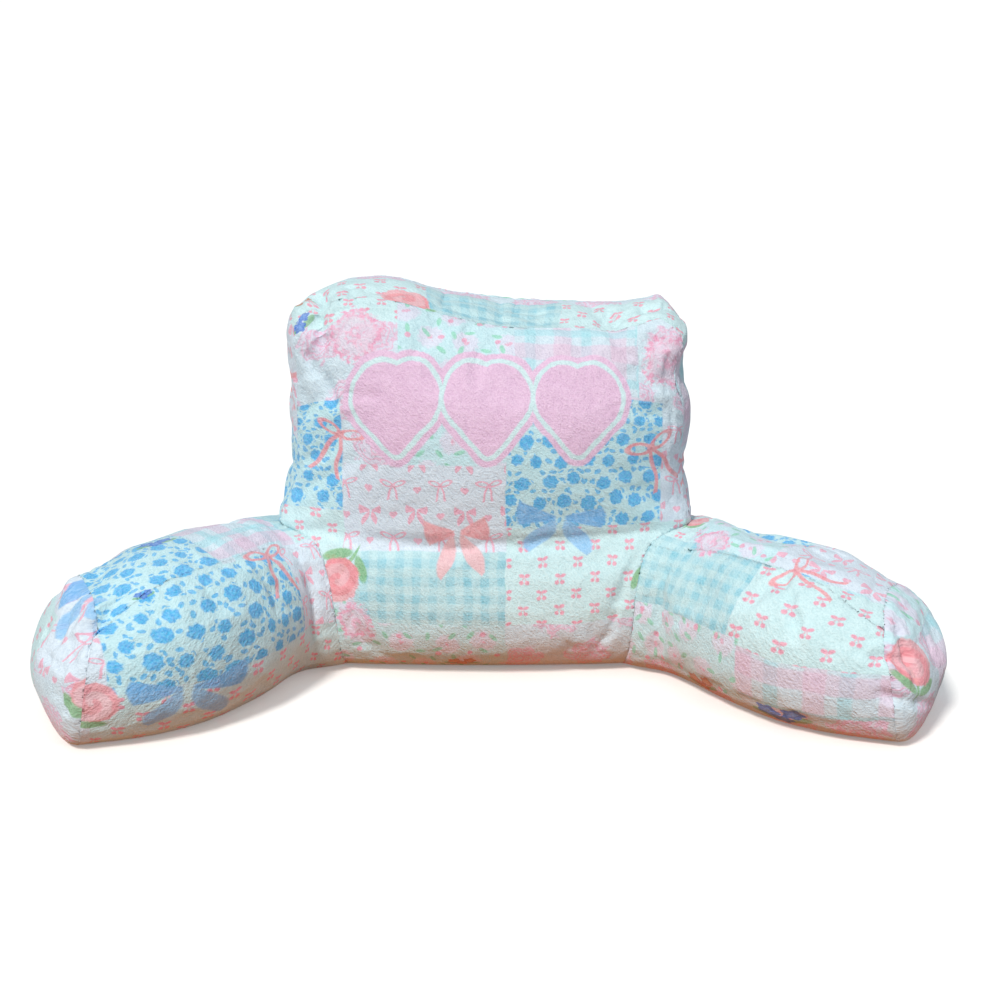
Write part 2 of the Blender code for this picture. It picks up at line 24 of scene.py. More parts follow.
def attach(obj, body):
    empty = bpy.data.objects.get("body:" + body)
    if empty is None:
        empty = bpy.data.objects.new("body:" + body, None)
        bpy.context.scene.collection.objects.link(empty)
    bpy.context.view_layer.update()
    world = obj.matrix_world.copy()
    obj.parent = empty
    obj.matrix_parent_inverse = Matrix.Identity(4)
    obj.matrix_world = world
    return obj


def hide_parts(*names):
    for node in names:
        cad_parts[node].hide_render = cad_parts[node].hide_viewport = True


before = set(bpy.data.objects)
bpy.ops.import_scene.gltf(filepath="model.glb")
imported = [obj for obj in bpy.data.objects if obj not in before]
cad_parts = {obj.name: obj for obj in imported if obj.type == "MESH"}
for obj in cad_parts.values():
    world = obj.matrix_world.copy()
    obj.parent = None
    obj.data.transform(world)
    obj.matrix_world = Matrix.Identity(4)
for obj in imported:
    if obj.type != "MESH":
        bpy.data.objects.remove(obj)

LOG = logging.getLogger("reading_pillow")
MILLIMETRE = 0.001
Colour = tuple[float, float, float, float]
Point = tuple[float, float, float]
Spot = tuple[float, float]


def ink(red: int, green: int, blue: int) -> Colour:
    """A colour for a shader socket.

    Args:
        red: how much red as a screen shows it, 0 to 255.
        green: the same for green.
        blue: the same for blue.

    Returns:
        The colour in linear light, opaque.
    """
    shares = [channel / 255 for channel in (red, green, blue)]
    linear = [s / 12.92 if s <= 0.04045 else ((s + 0.055) / 1.055) ** 2.4 for s in shares]
    return (linear[0], linear[1], linear[2], 1.0)


# ---------------------------------------------------------------- wiring of shader nodes

Value: TypeAlias = "Wire | Colour | float"


@dataclass(frozen=True)
class Wire:
    """What an output socket carries: arithmetic on it adds Math nodes to the same tree."""

    tree: bpy.types.NodeTree
    socket: bpy.types.NodeSocket

    def math(self, operation: str, *others: Value) -> "Wire":
        """One Math node, named as Blender names it, that reads this number and the others."""
        node = add_node(self.tree, "Math", dict(enumerate((self, *others))), operation=operation)
        return Wire(self.tree, node.outputs[0])

    def __add__(self, other: Value) -> "Wire":
        """The sum."""
        return self.math("ADD", other)

    def __sub__(self, other: Value) -> "Wire":
        """The difference."""
        return self.math("SUBTRACT", other)

    def __mul__(self, other: Value) -> "Wire":
        """The product."""
        return self.math("MULTIPLY", other)

    def __truediv__(self, other: Value) -> "Wire":
        """The quotient."""
        return self.math("DIVIDE", other)

    def __abs__(self) -> "Wire":
        """The size without the sign."""
        return self.math("ABSOLUTE")

    def lower(self, other: Value) -> "Wire":
        """The lower of the two."""
        return self.math("MINIMUM", other)

    def higher(self, other: Value) -> "Wire":
        """The higher of the two."""
        return self.math("MAXIMUM", other)

    def over(self, other: Value) -> "Wire":
        """1 where this number is the greater, else 0."""
        return self.math("GREATER_THAN", other)

    def within(self, edge: float, softness: float) -> "Wire":
        """A mask that is 1 below an edge and falls softly to 0 past it.

        Args:
            edge: where the mask is a half.
            softness: how far it takes to fall.

        Returns:
            The mask.
        """
        start, end = edge - softness / 2, edge + softness / 2
        values = {"Value": self, "From Min": start, "From Max": end, "To Min": 1.0, "To Max": 0.0}
        node = add_node(self.tree, "MapRange", values, interpolation_type="SMOOTHSTEP")
        return Wire(self.tree, node.outputs["Result"])


Wires = dict[str, Wire]


def feed(socket: bpy.types.NodeSocket, value: Value) -> None:
    """Feeds an input socket.

    Args:
        socket: the input.
        value: a wire, or a constant for the socket itself.
    """
    if isinstance(value, Wire):
        value.tree.links.new(value.socket, socket)
    else:
        socket.default_value = value


def add_node(tree: bpy.types.NodeTree, kind: str, values: dict, **settings: object) -> bpy.types.Node:
    """Adds a node to a tree.

    Args:
        tree: the tree.
        kind: Blender's name for the node, after ShaderNode.
        values: what feeds its inputs, by their names or numbers.
        settings: the node's own settings by name.

    Returns:
        The node.
    """
    node = tree.nodes.new(f"ShaderNode{kind}")
    for name, setting in settings.items():
        setattr(node, name, setting)
    for label, value in values.items():
        feed(node.inputs[label], value)
    return node


def is_colour(value: object) -> bool:
    """Whether a value is a colour: red, green, blue and opacity."""
    return isinstance(value, tuple) and len(value) == 4


def socket_type(value: Value) -> str:
    """The type of a node group's socket that takes a value.

    Args:
        value: a wire, a colour or a number.

    Returns:
        Blender's name for it.
    """
    kinds = {"VECTOR": "NodeSocketVector", "RGBA": "NodeSocketColor", "VALUE": "NodeSocketFloat"}
    if isinstance(value, Wire):
        return kinds[value.socket.type]
    return kinds["RGBA"] if is_colour(value) else kinds["VALUE"]


def use_group(name: str, values: dict[str, Value], draw: Callable[[Wires], Wires]) -> Wires:
    """Places a node group in a tree, and builds the group at its first use.

    Args:
        name: the group's name.
        values: what feeds its inputs, by name: the place on the cloth, as Flat, and the rest.
        draw: draws the group's inside, from its inputs as wires to its outputs by name.

    Returns:
        The outputs of the node that was placed.
    """
    group = bpy.data.node_groups.get(name)
    if group is None:
        group = bpy.data.node_groups.new(name, "ShaderNodeTree")
        for label, value in values.items():
            group.interface.new_socket(label, in_out="INPUT", socket_type=socket_type(value))
        start = group.nodes.new("NodeGroupInput")
        drawn = draw({label: Wire(group, start.outputs[label]) for label in values})
        for label, wire in drawn.items():
            group.interface.new_socket(label, in_out="OUTPUT", socket_type=socket_type(wire))
        end = group.nodes.new("NodeGroupOutput")
        for label, wire in drawn.items():
            feed(end.inputs[label], wire)
    tree = values["Flat"].tree
    node = add_node(tree, "Group", {}, node_tree=group)
    for label, value in values.items():
        feed(node.inputs[label], value)
    return {output.name: Wire(tree, output) for output in node.outputs}


def coordinates(flat: Wire) -> tuple[Wire, Wire]:
    """How far across and how far up a place on the cloth lies."""
    node = add_node(flat.tree, "SeparateXYZ", {0: flat})
    return Wire(flat.tree, node.outputs["X"]), Wire(flat.tree, node.outputs["Y"])


def vector(across: Wire, up: Wire, seed: Value = 0.0) -> Wire:
    """A vector of two coordinates and a seed."""
    node = add_node(across.tree, "CombineXYZ", {0: across, 1: up, 2: seed})
    return Wire(across.tree, node.outputs[0])


def speckle(place: Wire, per_metre: float, detail: float = 2.0) -> Wire:
    """Soft noise about a half, with so many lumps in a metre and so many finer layers."""
    node = add_node(place.tree, "TexNoise", {"Scale": per_metre, "Detail": detail, "Vector": place})
    return Wire(place.tree, node.outputs[0])


def mix(mask: Wire, under: Value, over: Value) -> Wire:
    """One colour with another laid over it, as far as the mask lets it show."""
    node = add_node(mask.tree, "Mix", {0: mask, 6: under, 7: over}, data_type="RGBA")
    return Wire(mask.tree, node.outputs[2])


def flipped(share: Wire) -> Wire:
    """What is left of 1."""
    return share * -1.0 + 1.0


def length_of(*parts: Wire) -> Wire:
    """The length of a vector.

    Args:
        parts: its components.

    Returns:
        The root of the sum of their squares.
    """
    total = parts[0] * parts[0]
    for part in parts[1:]:
        total = total + part * part
    return total.math("SQRT")


def rotate(across: Wire, up: Wire, angle: "Wire | float") -> tuple[Wire, Wire]:
    """A place as a turned motif sees it.

    Args:
        across: the place.
        up: the place.
        angle: the motif's turn, in radians.

    Returns:
        The place in the motif's own axes.
    """
    if isinstance(angle, Wire):
        cosine, sine = angle.math("COSINE"), angle.math("SINE")
    else:
        cosine, sine = math.cos(angle), math.sin(angle)
    return across * cosine + up * sine, up * cosine - across * sine


@dataclass(frozen=True)
class Cell:
    """A place in one cell of a repeat, from the cell's middle."""

    across: Wire
    up: Wire
    column: Wire
    row: Wire

    def lot(self, seed: float = 0.0) -> tuple[Wire, ...]:
        """Draws lots for the cell.

        Args:
            seed: tells one layer of a print from another.

        Returns:
            Three random numbers from 0 to 1.
        """
        tree = self.row.tree
        dice = add_node(tree, "TexWhiteNoise", {"Vector": vector(self.column, self.row, seed)})
        thrown = add_node(tree, "SeparateColor", {0: Wire(tree, dice.outputs["Color"])})
        return tuple(Wire(tree, output) for output in thrown.outputs)

    def strewn(self, one: Wire, other: Wire, stray: Spot) -> tuple[Wire, Wire]:
        """The place, seen from a motif that strays from the cell's middle by two random numbers."""
        return self.across + (one - 0.5) * stray[0], self.up + (other - 0.5) * stray[1]


def cells(across: Wire, up: Wire, size: Spot) -> Cell:
    """Cuts the plane into rows of cells, every other row shifted by half a cell.

    Args:
        across: the place.
        up: the place.
        size: a cell's width and height.

    Returns:
        The place in its cell.
    """
    row_at = up / size[1]
    row = row_at.math("FLOOR")
    shifted = across / size[0] + (row * 0.5).math("FRACT")
    column = shifted.math("FLOOR")
    return Cell((shifted - column - 0.5) * size[0], (row_at - row - 0.5) * size[1], column, row)


# ---------------------------------------------------------------- motifs


def heart(across: Wire, up: Wire) -> Wire:
    """How far a place lies outside a heart, below 0 inside: two round lobes over a square corner.

    Args:
        across: the place, in half widths of the heart from its middle.
        up: the place, in the same.

    Returns:
        The distance, in the same.
    """
    lobe_at, lobe_radius, corner_below = (0.25, 0.75), math.sqrt(0.125), 0.55
    half_width = lobe_at[0] + lobe_radius
    side = abs(across) * half_width
    high = up * half_width + corner_below
    lobe = length_of(side - lobe_at[0], high - lobe_at[1]) - lobe_radius
    diagonal = (side + high).higher(0.0) * 0.5
    cleft = length_of(side, high - 1.0)
    flank = length_of(side - diagonal, high - diagonal)
    wedge = cleft.lower(flank) * (side - high).math("SIGN")
    return (wedge + (lobe - wedge) * (side + high).over(1.0)) / half_width


def oval(across: Wire, up: Wire, radii: Spot) -> Wire:
    """How far out a place lies from an oval's middle: 1 on its edge."""
    return length_of(across / radii[0], up / radii[1])


def ribbon(across: Wire, up: Wire, tail_length: float) -> Wire:
    """A thin ribbon tied in a bow, from -1 to 1 across, its knot at 0 and its tails hanging down.

    Args:
        across: the place.
        up: the place.
        tail_length: how far down the tails reach.

    Returns:
        A mask.
    """
    loop_at, loop_radii, rise = (0.50, 0.02), (0.46, 0.21), 0.30
    spread, sway, waves, knot_radius = 0.34, 0.08, 3.6, 0.09
    side = abs(across)
    loop = (oval(side - loop_at[0], up - side * rise - loop_at[1], loop_radii) - 1.0) * 0.26
    down = up * -1.0
    strand = abs(side - down * spread - (down * waves).math("SINE") * sway)
    tail = (strand - 0.02).higher(abs(down - tail_length / 2) - tail_length / 2)
    knot = length_of(across, up) - knot_radius
    return abs(loop).lower(tail).lower(knot).within(0.07, 0.06)


def full_bow(across: Wire, up: Wire) -> tuple[Wire, Wire]:
    """A wide flat bow with two fanned loops and two pointed tails, from -1 to 1 each way.

    Args:
        across: the place.
        up: the place.

    Returns:
        The masks of its loops and of its tails.
    """
    knot_height, fan_out, tail_from, softness = 0.42, 0.42, 0.34, 0.08
    side = abs(across)
    lift = abs(up - knot_height - side * 0.10)
    round_end = side + lift * lift * 0.5 - 0.95
    fan = (lift - side * fan_out - 0.03).higher(round_end).higher(side * -1.0 + 0.10)
    down = up * -1.0 + tail_from
    swell = (down * 2.6).math("SINE") * 0.20
    tail = (abs(side - down * fan_out - 0.14) - swell - 0.05).higher(down * -1.0)
    point = down + abs(side - 0.60) * 1.1 - 1.22
    return fan.within(0.0, softness), tail.higher(point).within(0.0, softness)


def cherry_pair(across: Wire, up: Wire) -> Wire:
    """Two cherries on stems tied with a small bow, from -1 to 1 each way.

    Args:
        across: the place.
        up: the place.

    Returns:
        A mask.
    """
    fruit_at, fruit_radius, joint = (0.46, -0.56), 0.33, 0.45
    loop_at, loop_radii = (0.44, 0.48), (0.42, 0.27)
    side = abs(across)
    fruit = length_of(side - fruit_at[0], up - fruit_at[1]) - fruit_radius
    loop = oval(side - loop_at[0], up - loop_at[1] - side * 0.2, loop_radii) * 0.3 - 0.3
    stem = abs(side - (up * -1.0 + joint) * joint).higher(abs(up) - joint)
    return fruit.lower(loop).within(0.04, 0.22).higher(stem.within(0.12, 0.14) * 0.6)


def blossom(across: Wire, up: Wire, petals: int, notch: float) -> Wire:
    """How far out a place lies from a flower's middle.

    Args:
        across: the place.
        up: the place.
        petals: how many it has.
        notch: how deep the gaps between them are, as a share.

    Returns:
        1 at the petals' tips.
    """
    angle = up.math("ARCTAN2", across)
    wave = (angle * float(petals)).math("COSINE") * notch + (1.0 - notch)
    return length_of(across, up) / wave


# ---------------------------------------------------------------- prints


@dataclass(frozen=True)
class Print:
    """A repeat that is printed on the cloth: its inks, its sizes, and how it is drawn."""

    def inks(self) -> dict[str, Colour]:
        """The print's colours by name."""
        return {name.capitalize(): value for name, value in asdict(self).items() if is_colour(value)}

    def draw(self, flat: Wire, inks: Wires) -> Wire:
        """Draws the repeat.

        Args:
            flat: the place on the cloth.
            inks: the colours.

        Returns:
            The colour at that place.
        """
        raise NotImplementedError

    def inside(self, wires: Wires) -> Wires:
        """Draws the inside of the print's node group."""
        return {"Colour": self.draw(wires["Flat"], wires)}

    def paint(self, flat: Wire) -> Wire:
        """The print's colour at a place on the cloth."""
        return use_group(type(self).__name__, {"Flat": flat, **self.inks()}, self.inside)["Colour"]


@dataclass(frozen=True)
class Gingham(Print):
    """Even checks of one colour, woven-looking: pale, middle and full where the bands cross."""

    pale: Colour = ink(204, 238, 240)
    full: Colour = ink(98, 200, 224)
    check: float = 9.5 * MILLIMETRE
    wash_per_metre: float = 26.0

    def draw(self, flat: Wire, inks: Wires) -> Wire:
        """Two sets of soft bands, each laid half strength, and washed out in places.

        Args:
            flat: the place on the cloth.
            inks: the colours.

        Returns:
            The colour at that place.
        """
        waves = [(place * (math.pi / self.check)).math("SINE") for place in coordinates(flat)]
        one, other = (wave.within(0.0, 0.9) for wave in waves)
        wash = speckle(flat, self.wash_per_metre).within(0.52, 0.34) * 0.55 + 0.45
        mask = (one + other) * 0.26 + one * other * 0.14
        return mix(mask * wash + 0.05, inks["Pale"], inks["Full"])


@dataclass(frozen=True)
class BlueFlowers(Print):
    """Round blue flowers with small leaves strewn between them."""

    ground: Colour = ink(204, 244, 250)
    flower: Colour = ink(54, 196, 252)
    shade: Colour = ink(12, 164, 242)
    cell: Spot = (0.027, 0.023)
    radius: float = 0.0066
    petals: int = 7
    edge: float = 0.0026
    leaf_radii: Spot = (0.0036, 0.0022)
    leaf_layers: tuple[tuple[float, Spot], ...] = ((3.0, (0.0125, 0.0108)), (7.0, (0.0098, 0.0118)))

    def draw(self, flat: Wire, inks: Wires) -> Wire:
        """One layer of flowers and two of leaves, which keep clear of the flowers.

        Args:
            flat: the place on the cloth.
            inks: the colours.

        Returns:
            The colour at that place.
        """
        across, up = coordinates(flat)
        cell = cells(across, up, self.cell)
        first, second, third = cell.lot()
        there = cell.strewn(first, second, (0.008, 0.006))
        lumps = speckle(flat, 230.0, 1.0)
        spread = blossom(*there, self.petals, 0.05) + (lumps - 0.5) * 0.005
        radius = third * 0.0026 + self.radius
        flower = (spread - radius).within(0.0, self.edge)
        leaves = []
        for seed, size in self.leaf_layers:
            small = cells(across + seed * 0.0013, up, size)
            one, two, three = small.lot(seed)
            leaf = rotate(*small.strewn(one, two, (0.004, 0.004)), three * math.pi)
            leaves.append(oval(*leaf, self.leaf_radii).within(1.0, 0.45) * two.over(0.36))
        clear = flipped((spread - radius).within(0.0022, 0.0010))
        leafy = leaves[0].higher(leaves[1]) * clear * 0.86
        mottle = speckle(flat, 330.0).within(0.50, 0.20)
        body = mix(mottle * 0.75, inks["Flower"], inks["Shade"])
        return mix(flower.higher(leafy) * 0.94, inks["Ground"], body)


@dataclass(frozen=True)
class BowsAndHearts(Print):
    """Rows of pink bows, thin and full by turns, with a small heart between each two."""

    ground: Colour = ink(228, 242, 254)
    pale: Colour = ink(252, 196, 218)
    deep: Colour = ink(254, 158, 186)
    cell: Spot = (0.053, 0.031)
    half_bow: float = 0.0135
    half_heart: float = 0.0045

    def draw(self, flat: Wire, inks: Wires) -> Wire:
        """Bows at the middles of the cells, hearts between them.

        Args:
            flat: the place on the cloth.
            inks: the colours.

        Returns:
            The colour at that place.
        """
        across, up = coordinates(flat)
        cell = cells(across, up, self.cell)
        even = (cell.row * 0.5).math("FRACT") * 2.0
        thin = ribbon(cell.across / self.half_bow, (cell.up - 0.005) / self.half_bow, 1.25)
        fan, tail = full_bow(cell.across / self.half_bow, cell.up / self.half_bow)
        bow = thin * even + fan.higher(tail) * flipped(even)
        beside = abs(cell.across) * -1.0 + self.cell[0] / 2
        small = heart(beside / self.half_heart, cell.up / self.half_heart).within(0.0, 0.3)
        colour = mix(speckle(flat, 180.0, 1.0), inks["Pale"], inks["Deep"])
        return mix(bow.higher(small) * 0.9, inks["Ground"], colour)


@dataclass(frozen=True)
class Cherries(Print):
    """Pink cherries in pairs, row under row, each row shifted by half."""

    ground: Colour = ink(214, 246, 248)
    fruit: Colour = ink(252, 152, 178)
    cell: Spot = (0.039, 0.0175)
    half_pair: float = 0.0064

    def draw(self, flat: Wire, inks: Wires) -> Wire:
        """One pair in each cell.

        Args:
            flat: the place on the cloth.
            inks: the colours.

        Returns:
            The colour at that place.
        """
        cell = cells(*coordinates(flat), self.cell)
        pair = cherry_pair(cell.across / self.half_pair, cell.up / self.half_pair)
        return mix(pair * 0.92, inks["Ground"], inks["Fruit"])


@dataclass(frozen=True)
class Sprigs(Print):
    """Loose sprigs: washed-out blooms, pink buds and green leaves."""

    ground: Colour = ink(210, 246, 252)
    bloom: Colour = ink(236, 232, 250)
    bud: Colour = ink(250, 164, 196)
    leaf: Colour = ink(146, 228, 196)
    bed: Spot = (0.046, 0.038)
    bloom_radius: float = 0.0140
    bud_radius: float = 0.0026

    def draw(self, flat: Wire, inks: Wires) -> Wire:
        """Blooms first, then leaves and buds strewn over them.

        Args:
            flat: the place on the cloth.
            inks: the colours.

        Returns:
            The colour at that place.
        """
        across, up = coordinates(flat)
        blur = (speckle(flat, 220.0) - 0.5) * 0.012
        bed = cells(across, up, self.bed)
        first, second, _ = bed.lot(11.0)
        spread = length_of(*bed.strewn(first, second, (0.014, 0.012))) + blur
        colour = mix(spread.within(self.bloom_radius, 0.0050) * 0.85, inks["Ground"], inks["Bloom"])
        colour = mix(spread.within(self.bud_radius, 0.0030) * 0.7, colour, inks["Bud"])
        for seed, size, radii, label in (
            (17.0, (0.024, 0.019), (0.0058, 0.0026), "Leaf"),
            (23.0, (0.031, 0.026), (0.0034, 0.0030), "Bud"),
        ):
            cell = cells(across + seed * 0.001, up, size)
            one, two, three = cell.lot(seed)
            place = rotate(*cell.strewn(one, two, (0.010, 0.008)), three * math.pi)
            shape = (oval(*place, radii) + blur * 40.0).within(1.0, 0.5)
            colour = mix(shape * one.over(0.25) * 0.85, colour, inks[label])
        return colour


@dataclass(frozen=True)
class Plaid(Print):
    """Wide soft bands of turquoise, pink and lilac that cross, the cool ones the narrower."""

    ground: Colour = ink(222, 242, 252)
    cool: Colour = ink(164, 234, 244)
    warm: Colour = ink(246, 196, 224)
    repeat: float = 0.062
    bands: tuple[tuple[str, float, float, float], ...] = (
        ("Warm", 0.30, 0.155, 0.48),
        ("Cool", 0.72, 0.095, 0.55),
    )

    def draw(self, flat: Wire, inks: Wires) -> Wire:
        """Bands both ways.

        Args:
            flat: the place on the cloth.
            inks: the colours.

        Returns:
            The colour at that place.
        """
        colour = inks["Ground"]
        for place in coordinates(flat):
            along = (place / self.repeat).math("FRACT")
            for label, middle, half_width, strength in self.bands:
                band = abs(along - middle).within(half_width, 0.05)
                colour = mix(band * strength, colour, inks[label])
        return colour


@dataclass(frozen=True)
class Roses(Print):
    """Large washed-out roses: rings of petals in two pinks that run into the ground."""

    ground: Colour = ink(222, 242, 252)
    pale: Colour = ink(238, 222, 242)
    deep: Colour = ink(246, 184, 214)
    cell: Spot = (0.078, 0.062)
    radius: float = 0.024
    rings_per_metre: float = 780.0

    def draw(self, flat: Wire, inks: Wires) -> Wire:
        """A rose in each cell, its petals broken up by noise.

        Args:
            flat: the place on the cloth.
            inks: the colours.

        Returns:
            The colour at that place.
        """
        cell = cells(*coordinates(flat), self.cell)
        first, second, _ = cell.lot(29.0)
        wave = (speckle(flat, 90.0) - 0.5) * 0.030
        spread = length_of(*cell.strewn(first, second, (0.018, 0.012))) + wave
        rings = (spread * self.rings_per_metre).math("SINE").within(-0.1, 0.9)
        body = spread.within(self.radius, 0.008)
        colour = mix(body * 0.8, inks["Ground"], inks["Pale"])
        return mix(body * rings * 0.75, colour, inks["Deep"])


# ---------------------------------------------------------------- stamps: single motifs on the patchwork

CORAL = ink(254, 138, 148)
BLUSH = ink(252, 194, 200)
LEAF_GREEN = ink(120, 190, 112)


@dataclass(frozen=True)
class Art:
    """What a motif is drawn with: the place in its own half widths, what it lies on, and its inks."""

    across: Wire
    up: Wire
    under: Wire
    first: Wire
    second: Wire
    wash: Wire


@dataclass(frozen=True)
class Stamp:
    """One motif on a panel: where its middle lies, its half width, its height's share, and its turn."""

    across: float
    up: float
    size: float
    tall: float = 1.0
    turn_deg: float = 0.0
    first: Colour = CORAL
    second: Colour = BLUSH

    def draw(self, art: Art) -> Wire:
        """Draws the motif.

        Args:
            art: the place, the colour so far and the inks.

        Returns:
            The colour that shows.
        """
        raise NotImplementedError

    def inside(self, wires: Wires) -> Wires:
        """Draws the inside of the motif's node group.

        Args:
            wires: its inputs.

        Returns:
            The colour with the motif on it.
        """
        across, up = coordinates(wires["Flat"])
        across, up = rotate(across - wires["Across"], up - wires["Up"], wires["Turn"])
        across, up = across / wires["Size"], up / (wires["Size"] * wires["Tall"])
        wash = speckle(wires["Flat"], 170.0)
        art = Art(across, up, wires["Under"], wires["First"], wires["Second"], wash)
        return {"Colour": self.draw(art)}

    def press(self, flat: Wire, under: Wire) -> Wire:
        """Prints this motif over a colour.

        Args:
            flat: the place on the cloth.
            under: the colour so far.

        Returns:
            The colour with the motif on it.
        """
        turn = math.radians(self.turn_deg)
        place = {"Across": self.across, "Up": self.up, "Size": self.size, "Tall": self.tall, "Turn": turn}
        inks = {"Under": under, "First": self.first, "Second": self.second}
        return use_group(type(self).__name__, {"Flat": flat, **place, **inks}, self.inside)["Colour"]


@dataclass(frozen=True)
class RibbonBow(Stamp):
    """A thin ribbon tied in a bow, with long tails."""

    def draw(self, art: Art) -> Wire:
        """The ribbon, washed between the two inks."""
        colour = mix(art.wash.within(0.5, 0.3) * 0.5, art.first, art.second)
        return mix(ribbon(art.across, art.up, 1.75) * 0.9, art.under, colour)


@dataclass(frozen=True)
class FullBow(Stamp):
    """A flat bow: its loops in the first ink, its tails in the second."""

    def draw(self, art: Art) -> Wire:
        """Tails first, then the loops over them.

        Args:
            art: the place, the colour so far and the inks.

        Returns:
            The colour that shows.
        """
        fan, tail = full_bow(art.across, art.up)
        loops = mix(art.wash.within(0.48, 0.3) * 0.40, art.first, art.second)
        tails = mix(art.wash * 0.30, art.second, art.first)
        return mix(fan * 0.92, mix(tail * 0.92, art.under, tails), loops)


@dataclass(frozen=True)
class Rosebud(Stamp):
    """A folded rosebud on a short stem, with two leaves below it."""

    def draw(self, art: Art) -> Wire:
        """Stem and leaves first, then the bud with its petals rolled round its middle.

        Args:
            art: the place, the colour so far and the inks.

        Returns:
            The colour that shows.
        """
        leaf_at, leaf_turn, leaf_radii, stem_radii = (0.42, -0.48), 0.85, (0.17, 0.46), (0.05, 0.60)
        bud_height, bud_radii, coils = 0.22, (0.66, 0.72), 10.0
        colour = art.under
        for side, radii in ((1.0, leaf_radii), (-1.0, leaf_radii), (0.0, stem_radii)):
            leaf = rotate(art.across - side * leaf_at[0], art.up - leaf_at[1], -side * leaf_turn)
            colour = mix(oval(*leaf, radii).within(1.0, 0.35) * 0.85, colour, LEAF_GREEN)
        high = art.up - bud_height
        roll = length_of(art.across * 1.15, high) * coils - high.math("ARCTAN2", art.across)
        petals = mix(roll.math("SINE").within(0.1, 0.9) * 0.65, art.first, art.second)
        bud = oval(art.across, high, bud_radii) + (art.wash - 0.5) * 0.25
        return mix(bud.within(1.0, 0.12) * 0.92, colour, petals)


@dataclass(frozen=True)
class Posy(Stamp):
    """Three small flowers over two leaves."""

    def draw(self, art: Art) -> Wire:
        """Leaves first, then the flowers, paler towards their middles.

        Args:
            art: the place, the colour so far and the inks.

        Returns:
            The colour that shows.
        """
        colour = art.under
        for turn in (-1.1, 1.2):
            leaf = rotate(art.across + turn * 0.5, art.up + 0.25, turn)
            colour = mix(oval(*leaf, (0.2, 0.5)).within(1.0, 0.25) * 0.75, colour, LEAF_GREEN)
        for beside, above, radius in ((-0.45, 0.10, 0.46), (0.40, 0.22, 0.42), (0.02, -0.32, 0.40)):
            out = blossom(art.across - beside, art.up - above, 5, 0.14)
            petals = mix(out.within(radius * 0.45, 0.2) * 0.6, art.first, art.second)
            colour = mix(out.within(radius, 0.07) * 0.92, colour, petals)
        return colour


@dataclass(frozen=True)
class Bloom(Stamp):
    """A large washed-out bloom: clouds of the first ink in a haze of the second."""

    def draw(self, art: Art) -> Wire:
        """The haze, then a broken ring and a heart of deeper petals.

        Args:
            art: the place, the colour so far and the inks.

        Returns:
            The colour that shows.
        """
        out = blossom(art.across, art.up, 4, 0.08) + (art.wash - 0.5) * 0.7
        ring = abs(out - 0.72).within(0.16, 0.20).higher(out.within(0.30, 0.20) * 0.7)
        colour = mix(out.within(0.90, 0.30) * 0.75, art.under, art.second)
        return mix(ring * art.wash.within(0.50, 0.25) * 0.95, colour, art.first)


@dataclass(frozen=True)
class HeartRow(Stamp):
    """Three plump hearts side by side, with a pale outline inside a deeper one round them all."""

    def draw(self, art: Art) -> Wire:
        """Outer outline, pale outline and filling, each over the last.

        Args:
            art: the place, the colour so far and the inks.

        Returns:
            The colour that shows.
        """
        spacing, plump, pale, outer = 2.62, 0.24, 0.37, 0.53
        nearest = (art.across / spacing).math("ROUND").higher(-1.0).lower(1.0)
        out = heart(art.across - nearest * spacing, art.up) + (art.wash - 0.5) * 0.05
        colour = mix(out.within(outer, 0.06), art.under, art.first)
        colour = mix(out.within(pale, 0.05), colour, art.second)
        return mix(out.within(plump, 0.05), colour, art.first)


# ---------------------------------------------------------------- the plush


def patch_mask(wires: Wires) -> Wires:
    """Draws the mask of a patch, with edges as soft as the nap leaves them.

    Args:
        wires: the place on the cloth and the patch's edges.

    Returns:
        1 inside the patch, 0 outside.
    """
    across, up = coordinates(wires["Flat"])
    beside = (wires["Left"] - across).higher(across - wires["Right"])
    above = (wires["Low"] - up).higher(up - wires["High"])
    return {"Mask": beside.higher(above).within(0.0, 2.2 * MILLIMETRE)}


@dataclass(frozen=True)
class Patch:
    """A rectangle of the patchwork: its print and its edges on the flat cloth."""

    print: Print
    left: float
    right: float
    low: float
    high: float

    def mask(self, flat: Wire) -> Wire:
        """1 where a place lies in the patch, else 0."""
        edges = {"Left": self.left, "Right": self.right, "Low": self.low, "High": self.high}
        return use_group("patch mask", {"Flat": flat, **edges}, patch_mask)["Mask"]


def plush_nap(wires: Wires) -> Wires:
    """Draws the plush's short pile: how it scatters the print, how it shades and how high it stands.

    Args:
        wires: the place on the cloth, and how far the pile scatters the print and lets it sway.

    Returns:
        The scattered place, the shade and the height.
    """
    flat = wires["Flat"]
    across, up = coordinates(flat)
    moved = []
    for index, place in enumerate((across, up)):
        seeded = vector(across, up, 3.7 * (index + 1))
        sway = (speckle(seeded, 28.0, 1.0) - 0.5) * wires["Sway"] * 2.0
        scatter = (speckle(seeded, 900.0) - 0.5) * wires["Scatter"] * 2.0
        moved.append(place + sway + scatter)
    combed = vector(across + up * 0.7, (up - across * 0.35) * 0.45, 9.1)
    streak = speckle(combed, 300.0, 3.0)
    grain = speckle(flat, 520.0, 3.0)
    crushed = speckle(vector(across, up * 0.7, 5.3), 70.0, 4.0)
    shade = (streak - 0.5) * 1.5 + (grain - 0.5) * 2.4 + (crushed - 0.5)
    height = streak + grain * 0.8 + crushed * 1.6
    return {"Scattered": vector(*moved), "Shade": shade, "Height": height}


